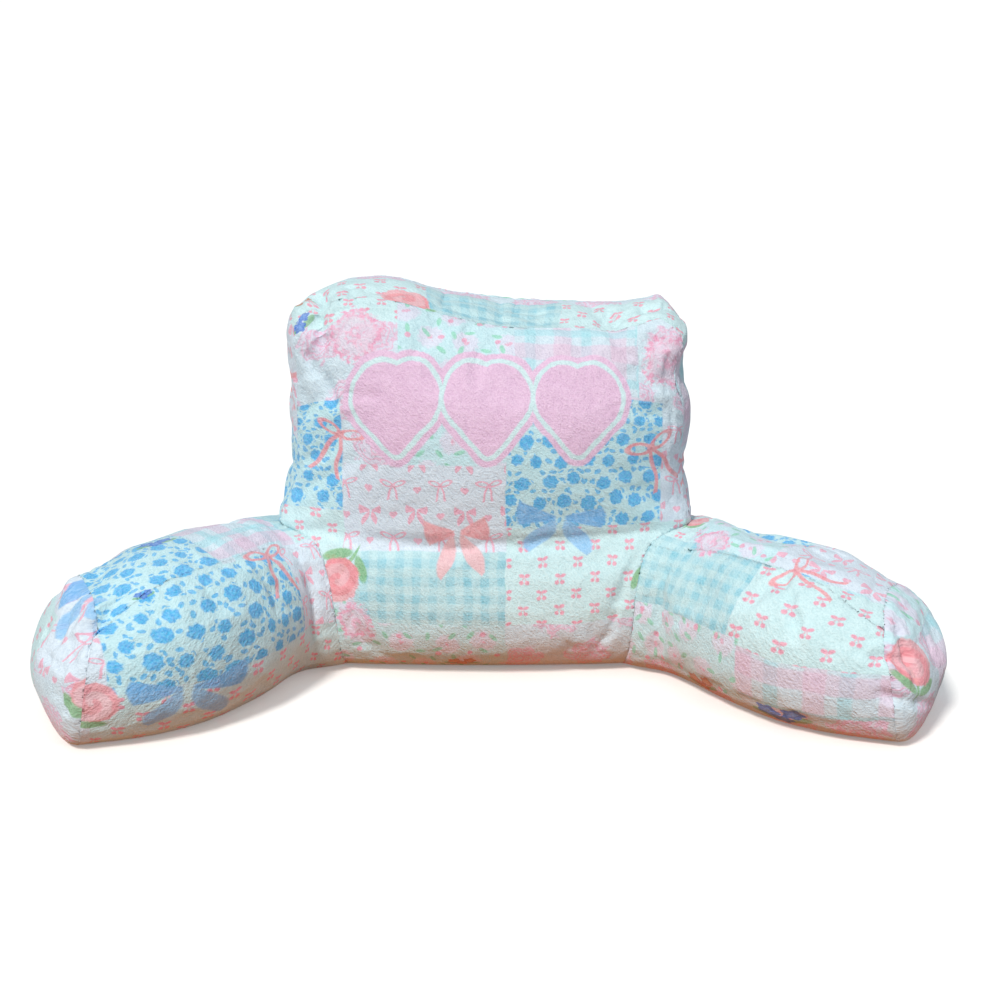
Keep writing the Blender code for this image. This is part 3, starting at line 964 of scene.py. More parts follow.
@dataclass(frozen=True)
class Plush:
    """A printed plush: its patchwork, the motifs over it, and its nap."""

    slot: str
    ground: Print
    patches: tuple[Patch, ...] = ()
    stamps: tuple[Stamp, ...] = ()
    roughness: float = 0.88
    sheen: float = 0.25
    sheen_roughness: float = 0.45
    pile: float = 0.0016
    bump: float = 0.85
    scatter: float = 0.0011
    sway: float = 0.0035
    shadow: Colour = ink(96, 118, 134)
    gleam: Colour = ink(250, 254, 254)

    def print_colour(self, flat: Wire) -> Wire:
        """Lays the patches on the ground and the motifs on the patches.

        Args:
            flat: the place on the cloth.

        Returns:
            The colour of the print there.
        """
        colour = self.ground.paint(flat)
        painted: dict[Print, Wire] = {}
        for patch in self.patches:
            if patch.print not in painted:
                painted[patch.print] = patch.print.paint(flat)
            colour = mix(patch.mask(flat), colour, painted[patch.print])
        for stamp in self.stamps:
            colour = stamp.press(flat, colour)
        return colour

    def make(self) -> bpy.types.Material:
        """Builds the material.

        Returns:
            The material, which reads the UV map called flat.
        """
        material = bpy.data.materials.new(self.slot)
        material.use_nodes = True
        tree = material.node_tree
        shader = tree.nodes["Principled BSDF"]
        flat = Wire(tree, add_node(tree, "UVMap", {}, uv_map="flat").outputs["UV"])
        reach = {"Scatter": self.scatter, "Sway": self.sway}
        nap = use_group("plush nap", {"Flat": flat, **reach}, plush_nap)
        dark = nap["Shade"].within(0.0, 1.6)
        colour = mix(dark * 0.17, self.print_colour(nap["Scattered"]), self.shadow)
        feed(shader.inputs["Base Color"], mix(flipped(dark) * 0.22, colour, self.gleam))
        height = {"Strength": self.bump, "Distance": self.pile, "Height": nap["Height"]}
        bump = add_node(tree, "Bump", height)
        feed(shader.inputs["Normal"], Wire(tree, bump.outputs["Normal"]))
        shader.inputs["Roughness"].default_value = self.roughness
        shader.inputs["Sheen Weight"].default_value = self.sheen
        shader.inputs["Sheen Roughness"].default_value = self.sheen_roughness
        return material


# ---------------------------------------------------------------- how the cloth is laid out flat


@dataclass(frozen=True)
class Route:
    """A bent line in a plane of two axes, along which a panel's cloth is measured."""

    axes: tuple[int, int]
    corners: tuple[Spot, ...]

    def measure(self, points: np.ndarray) -> tuple[np.ndarray, np.ndarray]:
        """Finds points along the line, between the mitres of its corners, so that nothing jumps.

        Args:
            points: their three coordinates, a row each.

        Returns:
            How far along the line each lies, and how far to the left of it.
        """
        place = points[:, self.axes]
        corners = np.array(self.corners)
        runs = np.diff(corners, axis=0)
        sizes = np.linalg.norm(runs, axis=1)
        headings = runs / sizes[:, None]
        mitres = np.vstack([headings[:1], headings[:-1] + headings[1:], headings[-1:]])
        mitres /= np.linalg.norm(mitres, axis=1, keepdims=True)
        ahead = [(place - corner) @ mitre for corner, mitre in zip(corners, mitres)]
        nearest = np.full(len(points), np.inf)
        along, beside = np.zeros(len(points)), np.zeros(len(points))
        walked = 0.0
        for number, (size, heading) in enumerate(zip(sizes, headings)):
            first, last = number == 0, number == len(sizes) - 1
            both = ahead[number] - ahead[number + 1]
            share = ahead[number] / np.where(np.abs(both) < TINY, TINY, both)
            share = np.clip(share, -np.inf if first else 0.0, np.inf if last else 1.0)
            outside = (not first) & (ahead[number] < 0.0) | (not last) & (ahead[number + 1] > 0.0)
            away = place - corners[number]
            level = np.clip(away @ heading, 0.0, size)
            off = np.linalg.norm(away - level[:, None] * heading, axis=1) + outside * 1.0
            nearer = off < nearest
            nearest = np.where(nearer, off, nearest)
            along = np.where(nearer, walked + share * size, along)
            beside = np.where(nearer, heading[0] * away[:, 1] - heading[1] * away[:, 0], beside)
            walked += size
        return along, beside


class Side(Enum):
    """On which side of an arm's middle line the sitter is: left of it or right of it."""

    LEFT = 1
    RIGHT = -1


class Layout:
    """How one panel's points are laid out flat, in metres."""

    def place(self, points: np.ndarray) -> np.ndarray:
        """Lays points out.

        Args:
            points: their three coordinates, a row each.

        Returns:
            Their place on the flat cloth, two coordinates a row.
        """
        raise NotImplementedError


@dataclass(frozen=True)
class Upright(Layout):
    """The front or rear panel: across the pillow, and up along its profile."""

    profile: Route
    mirrored: bool = False

    def place(self, points: np.ndarray) -> np.ndarray:
        """Lays points out: x as it is, and the height measured along the profile."""
        across = points[:, 0] * (-1.0 if self.mirrored else 1.0)
        return np.stack([across, self.profile.measure(points)[0]], axis=1)


@dataclass(frozen=True)
class Strip(Layout):
    """The boxing band: along its run, and across its depth."""

    run: Route

    def place(self, points: np.ndarray) -> np.ndarray:
        """Lays points out: the run measured along the band, and y as it is."""
        along, _ = self.run.measure(points)
        return np.stack([along, points[:, 1]], axis=1)


@dataclass(frozen=True)
class Sleeve(Layout):
    """An arm: along its middle line, and round it from the seam along its top."""

    middle: Route
    centre_height: float
    girth_radius: float
    seam_deg: float
    sitter: Side

    def place(self, points: np.ndarray) -> np.ndarray:
        """Lays points out: above 0 over the top and down outside, below 0 down the inner side.

        Args:
            points: their three coordinates, a row each.

        Returns:
            Their place on the flat cloth.
        """
        along, beside = self.middle.measure(points)
        turn = np.arctan2(points[:, 2] - self.centre_height, beside * self.sitter.value)
        past_seam = (turn - math.radians(self.seam_deg) + math.pi) % (2 * math.pi) - math.pi
        return np.stack([along, past_seam * self.girth_radius], axis=1)


@dataclass(frozen=True)
class EndCap(Layout):
    """An arm's end: across it and up it, set well aside from the arm's own cloth."""

    middle: Route
    sitter: Side
    aside: float = 1.0

    def place(self, points: np.ndarray) -> np.ndarray:
        """Lays points out as the cap is seen from its end."""
        _, beside = self.middle.measure(points)
        return np.stack([self.aside + beside * self.sitter.value, points[:, 2]], axis=1)


# ---------------------------------------------------------------- padding

SEAM_GAP = 0.3 * MILLIMETRE
SEAM_STEP = 0.4 * MILLIMETRE
SEAM_CLOSING = 0.4  # the share of the gap that each side of a seam takes up
SEAM_ANGLE = math.radians(38.0)
ALONG_SEAM = 2.0 * SEAM_GAP  # an edge this near to another panel is a seam ...
HIDDEN_CLOTH = 1.5 * SEAM_GAP  # ... unless its faces lie this near to it, inside the pillow
CORNER_FROM = 4.0 * SEAM_GAP  # how near a seam belongs to one corner in full
FACING_SPOTS = 24  # how many spots of a seam its facing is the mean of
SHARPEST = 0.3  # how sharply the cloth turns at a square corner
SAME_POINT = 0.01 * MILLIMETRE
SHORTEST_EDGE = 0.35 * MILLIMETRE
SNAP_NEAR = 0.7  # a point this near to a seam goes onto it; all three are in pitches of the fine mesh
SNAP_FAR = 2.0  # one this near does where no nearer one has
SNAP_BACK = 0.8  # one that went this far goes back, where a face has turned over
LUMP_SEED = Vector((5.0, 9.0, 2.0))
TINY = 1e-9


@dataclass(frozen=True)
class Crease:
    """A crease pressed into the finished cloth, or a ridge where its depth is below 0."""

    start: Point
    end: Point
    width: float
    depth: float
    blunt: float = 0.02  # the share of its length by which its ends are cut ...
    fading: float = 0.6  # ... and how soon it fades towards them

    def press(self, points: np.ndarray) -> np.ndarray:
        """Finds how deep the crease presses the cloth.

        Args:
            points: the cloth's points, a row each.

        Returns:
            A depth for each.
        """
        start, run = np.array(self.start), np.subtract(self.end, self.start)
        share = np.clip((points - start) @ run / (run @ run), 0.0, 1.0)
        away = np.linalg.norm(points - start - share[:, None] * run, axis=1) / self.width
        fade = np.sin(math.pi * np.clip(share, self.blunt, 1.0 - self.blunt)) ** self.fading
        return self.depth * np.cos(math.pi / 2 * np.minimum(away, 1.0)) ** 2 * fade


@dataclass(frozen=True)
class Stuffing:
    """How a panel is padded."""

    voxel: float = 0.0055
    frames: int = 20
    steps: int = 4
    mass: float = 0.3
    pressure: float = 3.0
    slack: float = 0.03  # how much longer the cloth is than its solid, which is what wrinkles it
    bending: float = 0.6
    reach: float = 0.009  # the furthest that a point may move
    swell: float = 0.25  # the share of the broad swelling that is kept
    broad: int = 60  # how many rounds of smoothing tell the swelling from the wrinkles
    held: float = 0.004  # cloth this near to another panel is held by the seam ...
    freed: float = 0.012  # ... and from here on it is free
    foot: float = 0.060  # below this height the weight smooths the cloth out
    rounding: float = 0.017  # a square corner at a seam is drawn in by 0.3 of this ...
    round_reach: float = 0.016  # ... and this far from the seam the cloth still goes with it
    junction: float = 0.012  # how far apart the seams are that meet in one corner
    pucker: float = 0.0011
    pucker_pitch: float = 0.013
    pucker_reach: float = 0.030
    pucker_from: Spot = (0.001, 0.007)  # how far from the seam the cloth starts to give, and gives in full
    lumps: float = 0.0016
    lump_pitch: float = 0.055
    lumps_from: Spot = (0.002, 0.032)


def tree_of(objects: list[bpy.types.Object]) -> BVHTree:
    """A search tree over the faces of some meshes.

    Args:
        objects: the meshes.

    Returns:
        One tree.
    """
    points: list[Vector] = []
    faces: list[list[int]] = []
    for obj in objects:
        base = len(points)
        points += [corner.co.copy() for corner in obj.data.vertices]
        faces += [[base + index for index in face.vertices] for face in obj.data.polygons]
    return BVHTree.FromPolygons(points, faces)


def rows(items: bpy.types.bpy_prop_collection, label: str) -> np.ndarray:
    """Reads one vector of each item of a mesh.

    Args:
        items: its points, faces or normals.
        label: Blender's name for the vector.

    Returns:
        A row for each.
    """
    flat = np.empty(len(items) * 3)
    items.foreach_get(label, flat)
    return flat.reshape(-1, 3)


def places(mesh: bpy.types.Mesh) -> np.ndarray:
    """The coordinates of a mesh's points, a row each."""
    return rows(mesh.vertices, "co")


def put(mesh: bpy.types.Mesh, points: np.ndarray) -> None:
    """Moves a mesh's points.

    Args:
        mesh: the mesh.
        points: where they go, a row each.
    """
    mesh.vertices.foreach_set("co", points.astype(float).ravel())
    mesh.update()


def outward(mesh: bpy.types.Mesh) -> np.ndarray:
    """The direction that looks out of the cloth at each point, a row each."""
    return rows(mesh.vertex_normals, "vector")


def face_normals(mesh: bpy.types.Mesh) -> np.ndarray:
    """The direction that each face of a mesh looks in, a row each."""
    return rows(mesh.polygon_normals, "vector")


def spread_out(mesh: bpy.types.Mesh, values: np.ndarray, rounds: int) -> np.ndarray:
    """Evens values out over a mesh.

    Args:
        mesh: the mesh, whose edges say what is beside what.
        values: a row for each point.
        rounds: how many times each point takes the mean with its neighbours.

    Returns:
        The smoothed values.
    """
    pairs = np.empty(len(mesh.edges) * 2, dtype=np.int32)
    mesh.edges.foreach_get("vertices", pairs)
    one, other = pairs.reshape(-1, 2).T
    count = np.bincount(pairs, minlength=len(values))[:, None] + 1.0
    smooth = values.copy()
    for _ in range(rounds):
        total = smooth.copy()
        for column in range(values.shape[1]):
            total[:, column] += np.bincount(one, smooth[other, column], len(values))
            total[:, column] += np.bincount(other, smooth[one, column], len(values))
        smooth = total / count
    return smooth


def eased(share: np.ndarray) -> np.ndarray:
    """0 to 1 with no slope at either end."""
    share = np.clip(share, 0.0, 1.0)
    return share * share * (3.0 - 2.0 * share)


def between(values: np.ndarray, start: float, end: float) -> np.ndarray:
    """0 up to one value, 1 from another on, and eased between them."""
    return eased((values - start) / (end - start))


@dataclass
class Panel:
    """A stuffed panel that takes the place of one node of the frame."""

    node: str
    cloth: Plush
    layout: Layout
    stuffing: Stuffing = Stuffing()
    fill: float = 0.8
    piece: bpy.types.Object = field(init=False, default=None)
    neighbours: BVHTree = field(init=False, default=None)
    solid: BVHTree = field(init=False, default=None)
    seams: KDTree = field(init=False, default=None)
    facings: list[Vector] = field(init=False, default_factory=list)

    def build(self, panels: list["Panel"], creases: tuple[Crease, ...]) -> None:
        """Remeshes the copied solid, pads it, creases it and lays out its UV map.

        Args:
            panels: all the panels, as this one may be sewn to any of the rest.
            creases: all the creases, as one may run over a seam.
        """
        self.remesh()
        self.inflate()
        self.meet_seams()
        self.refine()
        self.close_seams()
        self.work_over(panels, creases)
        self.lay_flat()
        self.hand_over()

    def copy_solid(self) -> None:
        """Copies the node's mesh, merges its loose triangles and finds its seams."""
        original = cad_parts[self.node]
        others = [node for name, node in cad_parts.items() if name != self.node]
        self.neighbours = tree_of(others)
        mesh = original.data.copy()
        body = bmesh.new()
        body.from_mesh(mesh)
        bmesh.ops.remove_doubles(body, verts=body.verts, dist=SAME_POINT)
        self.find_seams(body)
        body.to_mesh(mesh)
        body.free()
        mesh.materials.clear()
        self.piece = bpy.data.objects.new(f"{self.node}_cloth", mesh)
        bpy.context.scene.collection.objects.link(self.piece)
        self.solid = tree_of([self.piece])

    def find_seams(self, body: bmesh.types.BMesh) -> None:
        """Finds where outer sharp edges run along another panel, and how the cloth faces there.

        Args:
            body: the solid, merged.
        """
        spots: list[Vector] = []
        for edge in body.edges:
            start, end = (corner.co for corner in edge.verts)
            beside = self.off((start + end) / 2) < ALONG_SEAM
            cloth = max(edge.link_faces, key=self.clearance)
            shows = self.clearance(cloth) > HIDDEN_CLOTH
            if beside and shows and edge.calc_face_angle(0.0) > SEAM_ANGLE:
                count = math.ceil(edge.calc_length() / SEAM_STEP)
                spots += [start.lerp(end, number / count) for number in range(count + 1)]
                self.facings += [cloth.normal.copy()] * (count + 1)
        self.seams = KDTree(len(spots))
        for number, spot in enumerate(spots):
            self.seams.insert(spot, number)
        self.seams.balance()

    def off(self, spot: Vector) -> float:
        """How far a spot lies from the other panels' solids."""
        return self.neighbours.find_nearest(spot)[3]

    def clearance(self, face: bmesh.types.BMFace) -> float:
        """How far a face's middle lies from the other panels."""
        return self.off(face.calc_center_median())

    def facing(self, spot: Vector) -> Vector:
        """How the cloth faces at a seam, evened out along it.

        Args:
            spot: a place on the seam.

        Returns:
            The direction, of length 1.
        """
        total = Vector((0.0, 0.0, 0.0))
        for _, number, _ in self.seams.find_n(spot, FACING_SPOTS):
            total += self.facings[number]
        return total.normalized()

    def select(self) -> None:
        """Makes the piece the only one selected."""
        bpy.ops.object.select_all(action="DESELECT")
        self.piece.select_set(True)
        bpy.context.view_layer.objects.active = self.piece

    def remesh(self) -> None:
        """Gives the piece an even mesh."""
        self.select()
        self.piece.data.remesh_voxel_size = self.stuffing.voxel
        self.piece.data.use_remesh_fix_poles = False
        bpy.ops.object.voxel_remesh()

    def seam_distance(self) -> np.ndarray:
        """How far each point of the piece lies from the other panels' solids."""
        return np.array([self.off(point.co) for point in self.piece.data.vertices])

    def inflate(self) -> None:
        """Runs the cloth under pressure, held at its seams, and keeps its wrinkles."""
        stuffing = self.stuffing
        mesh = self.piece.data
        rest = places(mesh)
        off = self.seam_distance()
        hold = np.clip((stuffing.freed - off) / (stuffing.freed - stuffing.held), 0.0, 1.0)
        group = self.piece.vertex_groups.new(name="held")
        for index in np.flatnonzero(hold > 0.0):
            group.add([int(index)], float(hold[index]), "REPLACE")
        self.select()
        cloth = self.piece.modifiers.new("Cloth", "CLOTH")
        settings = cloth.settings
        settings.quality = stuffing.steps
        settings.mass = stuffing.mass
        settings.bending_stiffness = stuffing.bending
        settings.use_pressure = True
        settings.uniform_pressure_force = stuffing.pressure
        settings.shrink_min = -stuffing.slack
        settings.effector_weights.gravity = 0.0
        settings.vertex_group_mass = group.name
        cloth.point_cache.frame_start = 1
        cloth.point_cache.frame_end = stuffing.frames
        for number in range(1, stuffing.frames + 1):
            bpy.context.scene.frame_set(number)
        bpy.ops.object.modifier_apply(modifier=cloth.name)
        bpy.context.scene.frame_set(1)
        self.piece.vertex_groups.clear()
        mesh = self.piece.data
        move = places(mesh) - rest
        broad = spread_out(mesh, move, stuffing.broad)
        move = move - broad * (1.0 - stuffing.swell)
        size = np.linalg.norm(move, axis=1, keepdims=True)
        move *= np.minimum(size, stuffing.reach) / np.maximum(size, TINY)
        settled = eased(rest[:, 2] / stuffing.foot)
        move *= ((1.0 - hold) * settled)[:, None]
        put(mesh, rest + move)
        furthest = np.linalg.norm(move, axis=1).max() / MILLIMETRE
        LOG.info("%s moved %.1f mm at most", self.node, furthest)

    def meet_seams(self) -> None:
        """Brings the edge of the cloth back to its seam, from which the remesh has drawn it."""
        mesh = self.piece.data
        points = places(mesh)
        off = self.seam_distance()
        for index in np.flatnonzero(off < self.stuffing.voxel):
            points[index] = self.solid.find_nearest(Vector(points[index]))[0]
        put(mesh, points)

    def refine(self) -> None:
        """Subdivides the cloth once."""
        self.select()
        finer = self.piece.modifiers.new("Finer", "SUBSURF")
        finer.levels = 1
        finer.render_levels = 1
        bpy.ops.object.modifier_apply(modifier=finer.name)

    def close_seams(self) -> None:
        """Draws the cloth's edge onto the seams, all but shuts their gap, and keeps them crisp."""
        mesh = self.piece.data
        points = places(mesh)
        pitch = self.stuffing.voxel / 2
        close = np.flatnonzero(self.seam_distance() < SNAP_FAR * pitch)
        found = [(self.seams.find(points[index]), index) for index in close]
        met: set[tuple[int, ...]] = set()
        before, faced = points.copy(), face_normals(mesh)
        for (spot, _, away), index in sorted(found, key=lambda entry: entry[0][2]):
            stretch = tuple(round(value / (SNAP_NEAR * pitch)) for value in spot)
            if away < SNAP_NEAR * pitch or (away < SNAP_FAR * pitch and stretch not in met):
                points[index] = spot.lerp(self.neighbours.find_nearest(spot)[0], SEAM_CLOSING)
                met.add(stretch)
        put(mesh, points)
        turned_over = np.flatnonzero((face_normals(mesh) * faced).sum(axis=1) < 0.0)
        for index in turned_over:
            corners = np.array(mesh.polygons[index].vertices)
            strayed = corners[np.linalg.norm((points - before)[corners], axis=1) > SNAP_BACK * pitch]
            points[strayed] = before[strayed]
        put(mesh, points)
        body = bmesh.new()
        body.from_mesh(mesh)
        bmesh.ops.remove_doubles(body, verts=body.verts, dist=SHORTEST_EDGE)
        body.to_mesh(mesh)
        body.free()

    def common(self, spot: Vector, panels: list["Panel"]) -> tuple[Vector, float]:
        """Where the cloths that meet at a seam look together: the same for each of them.

        Args:
            spot: a place on the seam.
            panels: all the panels.

        Returns:
            The direction, and how sharply the cloth turns: 0 where it runs on.
        """
        total, weight = Vector((0.0, 0.0, 0.0)), 0.0
        for panel in panels:
            place, _, away = panel.seams.find(spot)
            share = min((self.stuffing.junction - away) / (self.stuffing.junction - CORNER_FROM), 1.0)
            if share > 0.0:
                total += panel.facing(place) * share
                weight += share
        return total.normalized(), min(1.0 - total.length / weight, SHARPEST)

    def read_seams(self, panels: list["Panel"]) -> tuple[np.ndarray, np.ndarray, np.ndarray]:
        """Reads what the seams say to each point of the piece.

        Args:
            panels: all the panels.

        Returns:
            How strongly the point goes with its seam, 1 to 0, the direction in which the cloths look
            together there, and how sharply they turn.
        """
        points = places(self.piece.data)
        tied, lead, turn = np.zeros(len(points)), np.zeros_like(points), np.zeros(len(points))
        known: dict[int, tuple[Vector, float]] = {}
        for index, point in enumerate(points):
            spot, number, away = self.seams.find(point)
            if away < self.stuffing.round_reach:
                if number not in known:
                    known[number] = self.common(spot, panels)
                tied[index] = 1.0 - away / self.stuffing.round_reach
                lead[index], turn[index] = known[number]
        return tied, lead, turn

    def work_over(self, panels: list["Panel"], creases: tuple[Crease, ...]) -> None:
        """Rounds the corners at the seams, puckers the cloth, leaves it lumpy, and creases it.

        Args:
            panels: all the panels.
            creases: all the creases.
        """
        stuffing = self.stuffing
        mesh = self.piece.data
        tied, lead, turn = self.read_seams(panels)
        points = places(mesh) - lead * (stuffing.rounding * turn * tied**2)[:, None]
        off = self.seam_distance()
        put(mesh, points)
        normals = outward(mesh)
        settled = eased(points[:, 2] / stuffing.foot)
        open_cloth = between(off, *stuffing.pucker_from)
        near = (1.0 - eased(off / stuffing.pucker_reach)) * open_cloth * settled
        free = between(off, *stuffing.lumps_from) * settled
        lift = np.zeros(len(points))
        for index in np.flatnonzero(open_cloth > 0.0):
            place = Vector(points[index])
            gather = noise.noise(place / stuffing.pucker_pitch)
            lump = noise.noise(place / stuffing.lump_pitch + LUMP_SEED)
            lift[index] = gather * stuffing.pucker * near[index] + lump * stuffing.lumps * free[index]
        press = sum(crease.press(points) for crease in creases)
        follow = eased(tied)
        ways = lead * follow[:, None] + normals * (open_cloth * (1.0 - follow))[:, None]
        points += normals * lift[:, None] - ways * press[:, None]
        points[:, 2] = np.maximum(points[:, 2], 0.0)
        put(mesh, points)
        self.select()
        bpy.ops.object.shade_smooth_by_angle(angle=SEAM_ANGLE)

    def lay_flat(self) -> None:
        """Writes the UV map called flat, in metres."""
        mesh = self.piece.data
        spots = self.layout.place(places(mesh))
        corners = np.empty(len(mesh.loops), dtype=np.int32)
        mesh.loops.foreach_get("vertex_index", corners)
        layer = mesh.uv_layers.new(name="flat")
        layer.uv.foreach_set("vector", spots[corners].ravel())

    def hand_over(self) -> None:
        """Hides the node's own solid and attaches the piece to the frame's root."""
        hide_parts(self.node)
        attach(self.piece, "root")

    def dress(self, material: bpy.types.Material) -> None:
        """Puts the cloth's material on.

        Args:
            material: the printed plush.
        """
        self.piece.data.materials.clear()
        self.piece.data.materials.append(material)


# ---------------------------------------------------------------- the studio


@dataclass
class Studio:
    """A pale floor, soft light, and the camera."""

    focal_mm: float = 52.34
    sensor_mm: float = 36.0
    camera_at: Point = (0.0, -1.518, 0.694)
    look_down_deg: float = 18.0
    shift: Spot = (0.011, 0.0056)
    floor_half: float = 60.0
    floor_colour: Colour = ink(250, 249, 247)
    floor_shade: Colour = ink(238, 236, 232)
    floor_grain: Spot = (60.0, 0.04)  # how many specks in a metre, and how strong they are
    floor_shine: float = 0.22  # what the camera sees besides, as the photograph's ground is white
    floor_roughness: float = 0.8
    floor_gloss: float = 0.1
    floor_far: Colour = ink(146, 140, 136)  # what the floor throws back on the pillow, far from it ...
    floor_glow: Colour = ink(188, 112, 54)  # ... and close round it
    glow_shine: float = 0.10
    footprint: Spot = (0.44, 0.18)
    glow_reach: float = 0.20
    key_from: Point = (-0.42, -0.72, 1.00)
    key_strength: float = 2.40
    key_colour: Colour = ink(255, 252, 247)
    fill_from: Point = (0.90, -0.80, 0.55)
    fill_strength: float = 0.30
    fill_colour: Colour = ink(246, 250, 255)
    softness_deg: float = 11.0
    sky: Colour = ink(230, 243, 255)
    sky_strength: float = 0.39
    seen_sky_strength: float = 1.1

    def build(self) -> None:
        """Sets everything up, and shows colours as they are."""
        self.lay_floor()
        self.light("key", self.key_from, self.key_strength, self.key_colour)
        self.light("fill", self.fill_from, self.fill_strength, self.fill_colour)
        self.set_sky()
        self.set_camera()
        bpy.context.scene.view_settings.view_transform = "Standard"

    def lay_floor(self) -> None:
        """A large pale floor that throws a warm light back up on what stands on it."""
        bpy.ops.object.select_all(action="DESELECT")
        bpy.ops.mesh.primitive_plane_add(size=2 * self.floor_half)
        floor = bpy.context.object
        floor.name = "studio_floor"
        paper = bpy.data.materials.new("floor_paper")
        paper.use_nodes = True
        tree = paper.node_tree
        shader = tree.nodes["Principled BSDF"]
        where = Wire(tree, add_node(tree, "TexCoord", {}).outputs["Object"])
        specks = speckle(where, self.floor_grain[0], 3.0) * self.floor_grain[1]
        pale = mix(specks, self.floor_colour, self.floor_shade)
        across, deep = coordinates(where)
        beside = (abs(across) - self.footprint[0]).higher(0.0)
        before = (abs(deep) - self.footprint[1]).higher(0.0)
        near = length_of(beside, before).within(self.glow_reach / 2, self.glow_reach)
        seen = Wire(tree, add_node(tree, "LightPath", {}).outputs["Is Camera Ray"])
        colour = mix(seen, mix(near, self.floor_far, self.floor_glow), pale)
        glow = near * self.glow_shine
        feed(shader.inputs["Base Color"], colour)
        feed(shader.inputs["Emission Color"], colour)
        feed(shader.inputs["Emission Strength"], glow + seen * (glow * -1.0 + self.floor_shine))
        feed(shader.inputs["Roughness"], self.floor_roughness)
        feed(shader.inputs["Specular IOR Level"], self.floor_gloss)
        floor.data.materials.append(paper)

    def light(self, name: str, origin: Point, strength: float, colour: Colour) -> None:
        """Adds a broad soft light from far away.

        Args:
            name: the light's name.
            origin: the direction that it comes from.
            strength: how much light falls on a face that looks at it.
            colour: its colour.
        """
        lamp = bpy.data.lights.new(name, "SUN")
        lamp.energy = strength
        lamp.angle = math.radians(self.softness_deg)
        lamp.color = colour[:3]
        stand = bpy.data.objects.new(name, lamp)
        stand.location = origin
        stand.rotation_euler = Vector(origin).to_track_quat("Z", "Y").to_euler()
        bpy.context.scene.collection.objects.link(stand)

    def set_sky(self) -> None:
        """An even pale light from all round, which the camera sees as plain paper."""
        world = bpy.data.worlds.new("studio_light")
        world.use_nodes = True
        tree = world.node_tree
        background = tree.nodes["Background"]
        seen = Wire(tree, add_node(tree, "LightPath", {}).outputs["Is Camera Ray"])
        strength = seen * (self.seen_sky_strength - self.sky_strength) + self.sky_strength
        feed(background.inputs["Color"], mix(seen, self.sky, self.floor_colour))
        feed(background.inputs["Strength"], strength)
        bpy.context.scene.world = world

    def set_camera(self) -> None:
        """The camera, where the photograph was taken from."""
        lens = bpy.data.cameras.new("camera")
        lens.lens = self.focal_mm
        lens.sensor_width = self.sensor_mm
        lens.shift_x, lens.shift_y = self.shift
        camera = bpy.data.objects.new("camera", lens)
        camera.location = self.camera_at
        camera.rotation_euler = (math.radians(90.0 - self.look_down_deg), 0.0, 0.0)
        bpy.context.scene.collection.objects.link(camera)
        bpy.context.scene.camera = camera


# ---------------------------------------------------------------- the pillow

LEFT_ROUTE = Route(
    (0, 1),
    (
        (-0.190, 0.090),
        (-0.238, 0.062),
        (-0.280, 0.020),
        (-0.316, -0.036),
        (-0.364, -0.086),
        (-0.443, -0.125),
    ),
)
RIGHT_ROUTE = Route(
    (0, 1),
    ((0.190, 0.090), (0.238, 0.058), (0.284, 0.014), (0.326, -0.036), (0.374, -0.080), (0.452, -0.118)),
)
FRONT_ROUTE = Route(
    (1, 2),
    ((0.004, 0.000), (-0.028, 0.055), (-0.004, 0.140), (-0.004, 0.280), (0.022, 0.340), (0.078, 0.400)),
)
REAR_ROUTE = Route((1, 2), ((0.206, 0.000), (0.206, 0.372), (0.172, 0.404)))
BAND_ROUTE = Route((0, 2), ((-0.222, 0.150), (-0.216, 0.395), (0.216, 0.390), (0.226, 0.150)))

GINGHAM = Gingham()
FLOWERS = BlueFlowers()
BOWS = BowsAndHearts()
CHERRIES = Cherries()
SPRIGS = Sprigs()
PLAID = Plaid()
ROSES = Roses()

SKY_BLUES = (ink(100, 184, 248), ink(156, 212, 254))
DEEP_BLUES = (ink(36, 116, 222), ink(110, 172, 244))
TANS = (ink(206, 118, 62), ink(240, 172, 112))
PINKS = (ink(250, 162, 198), ink(242, 218, 236))
HEART_INKS = (ink(246, 200, 232), ink(220, 248, 250))

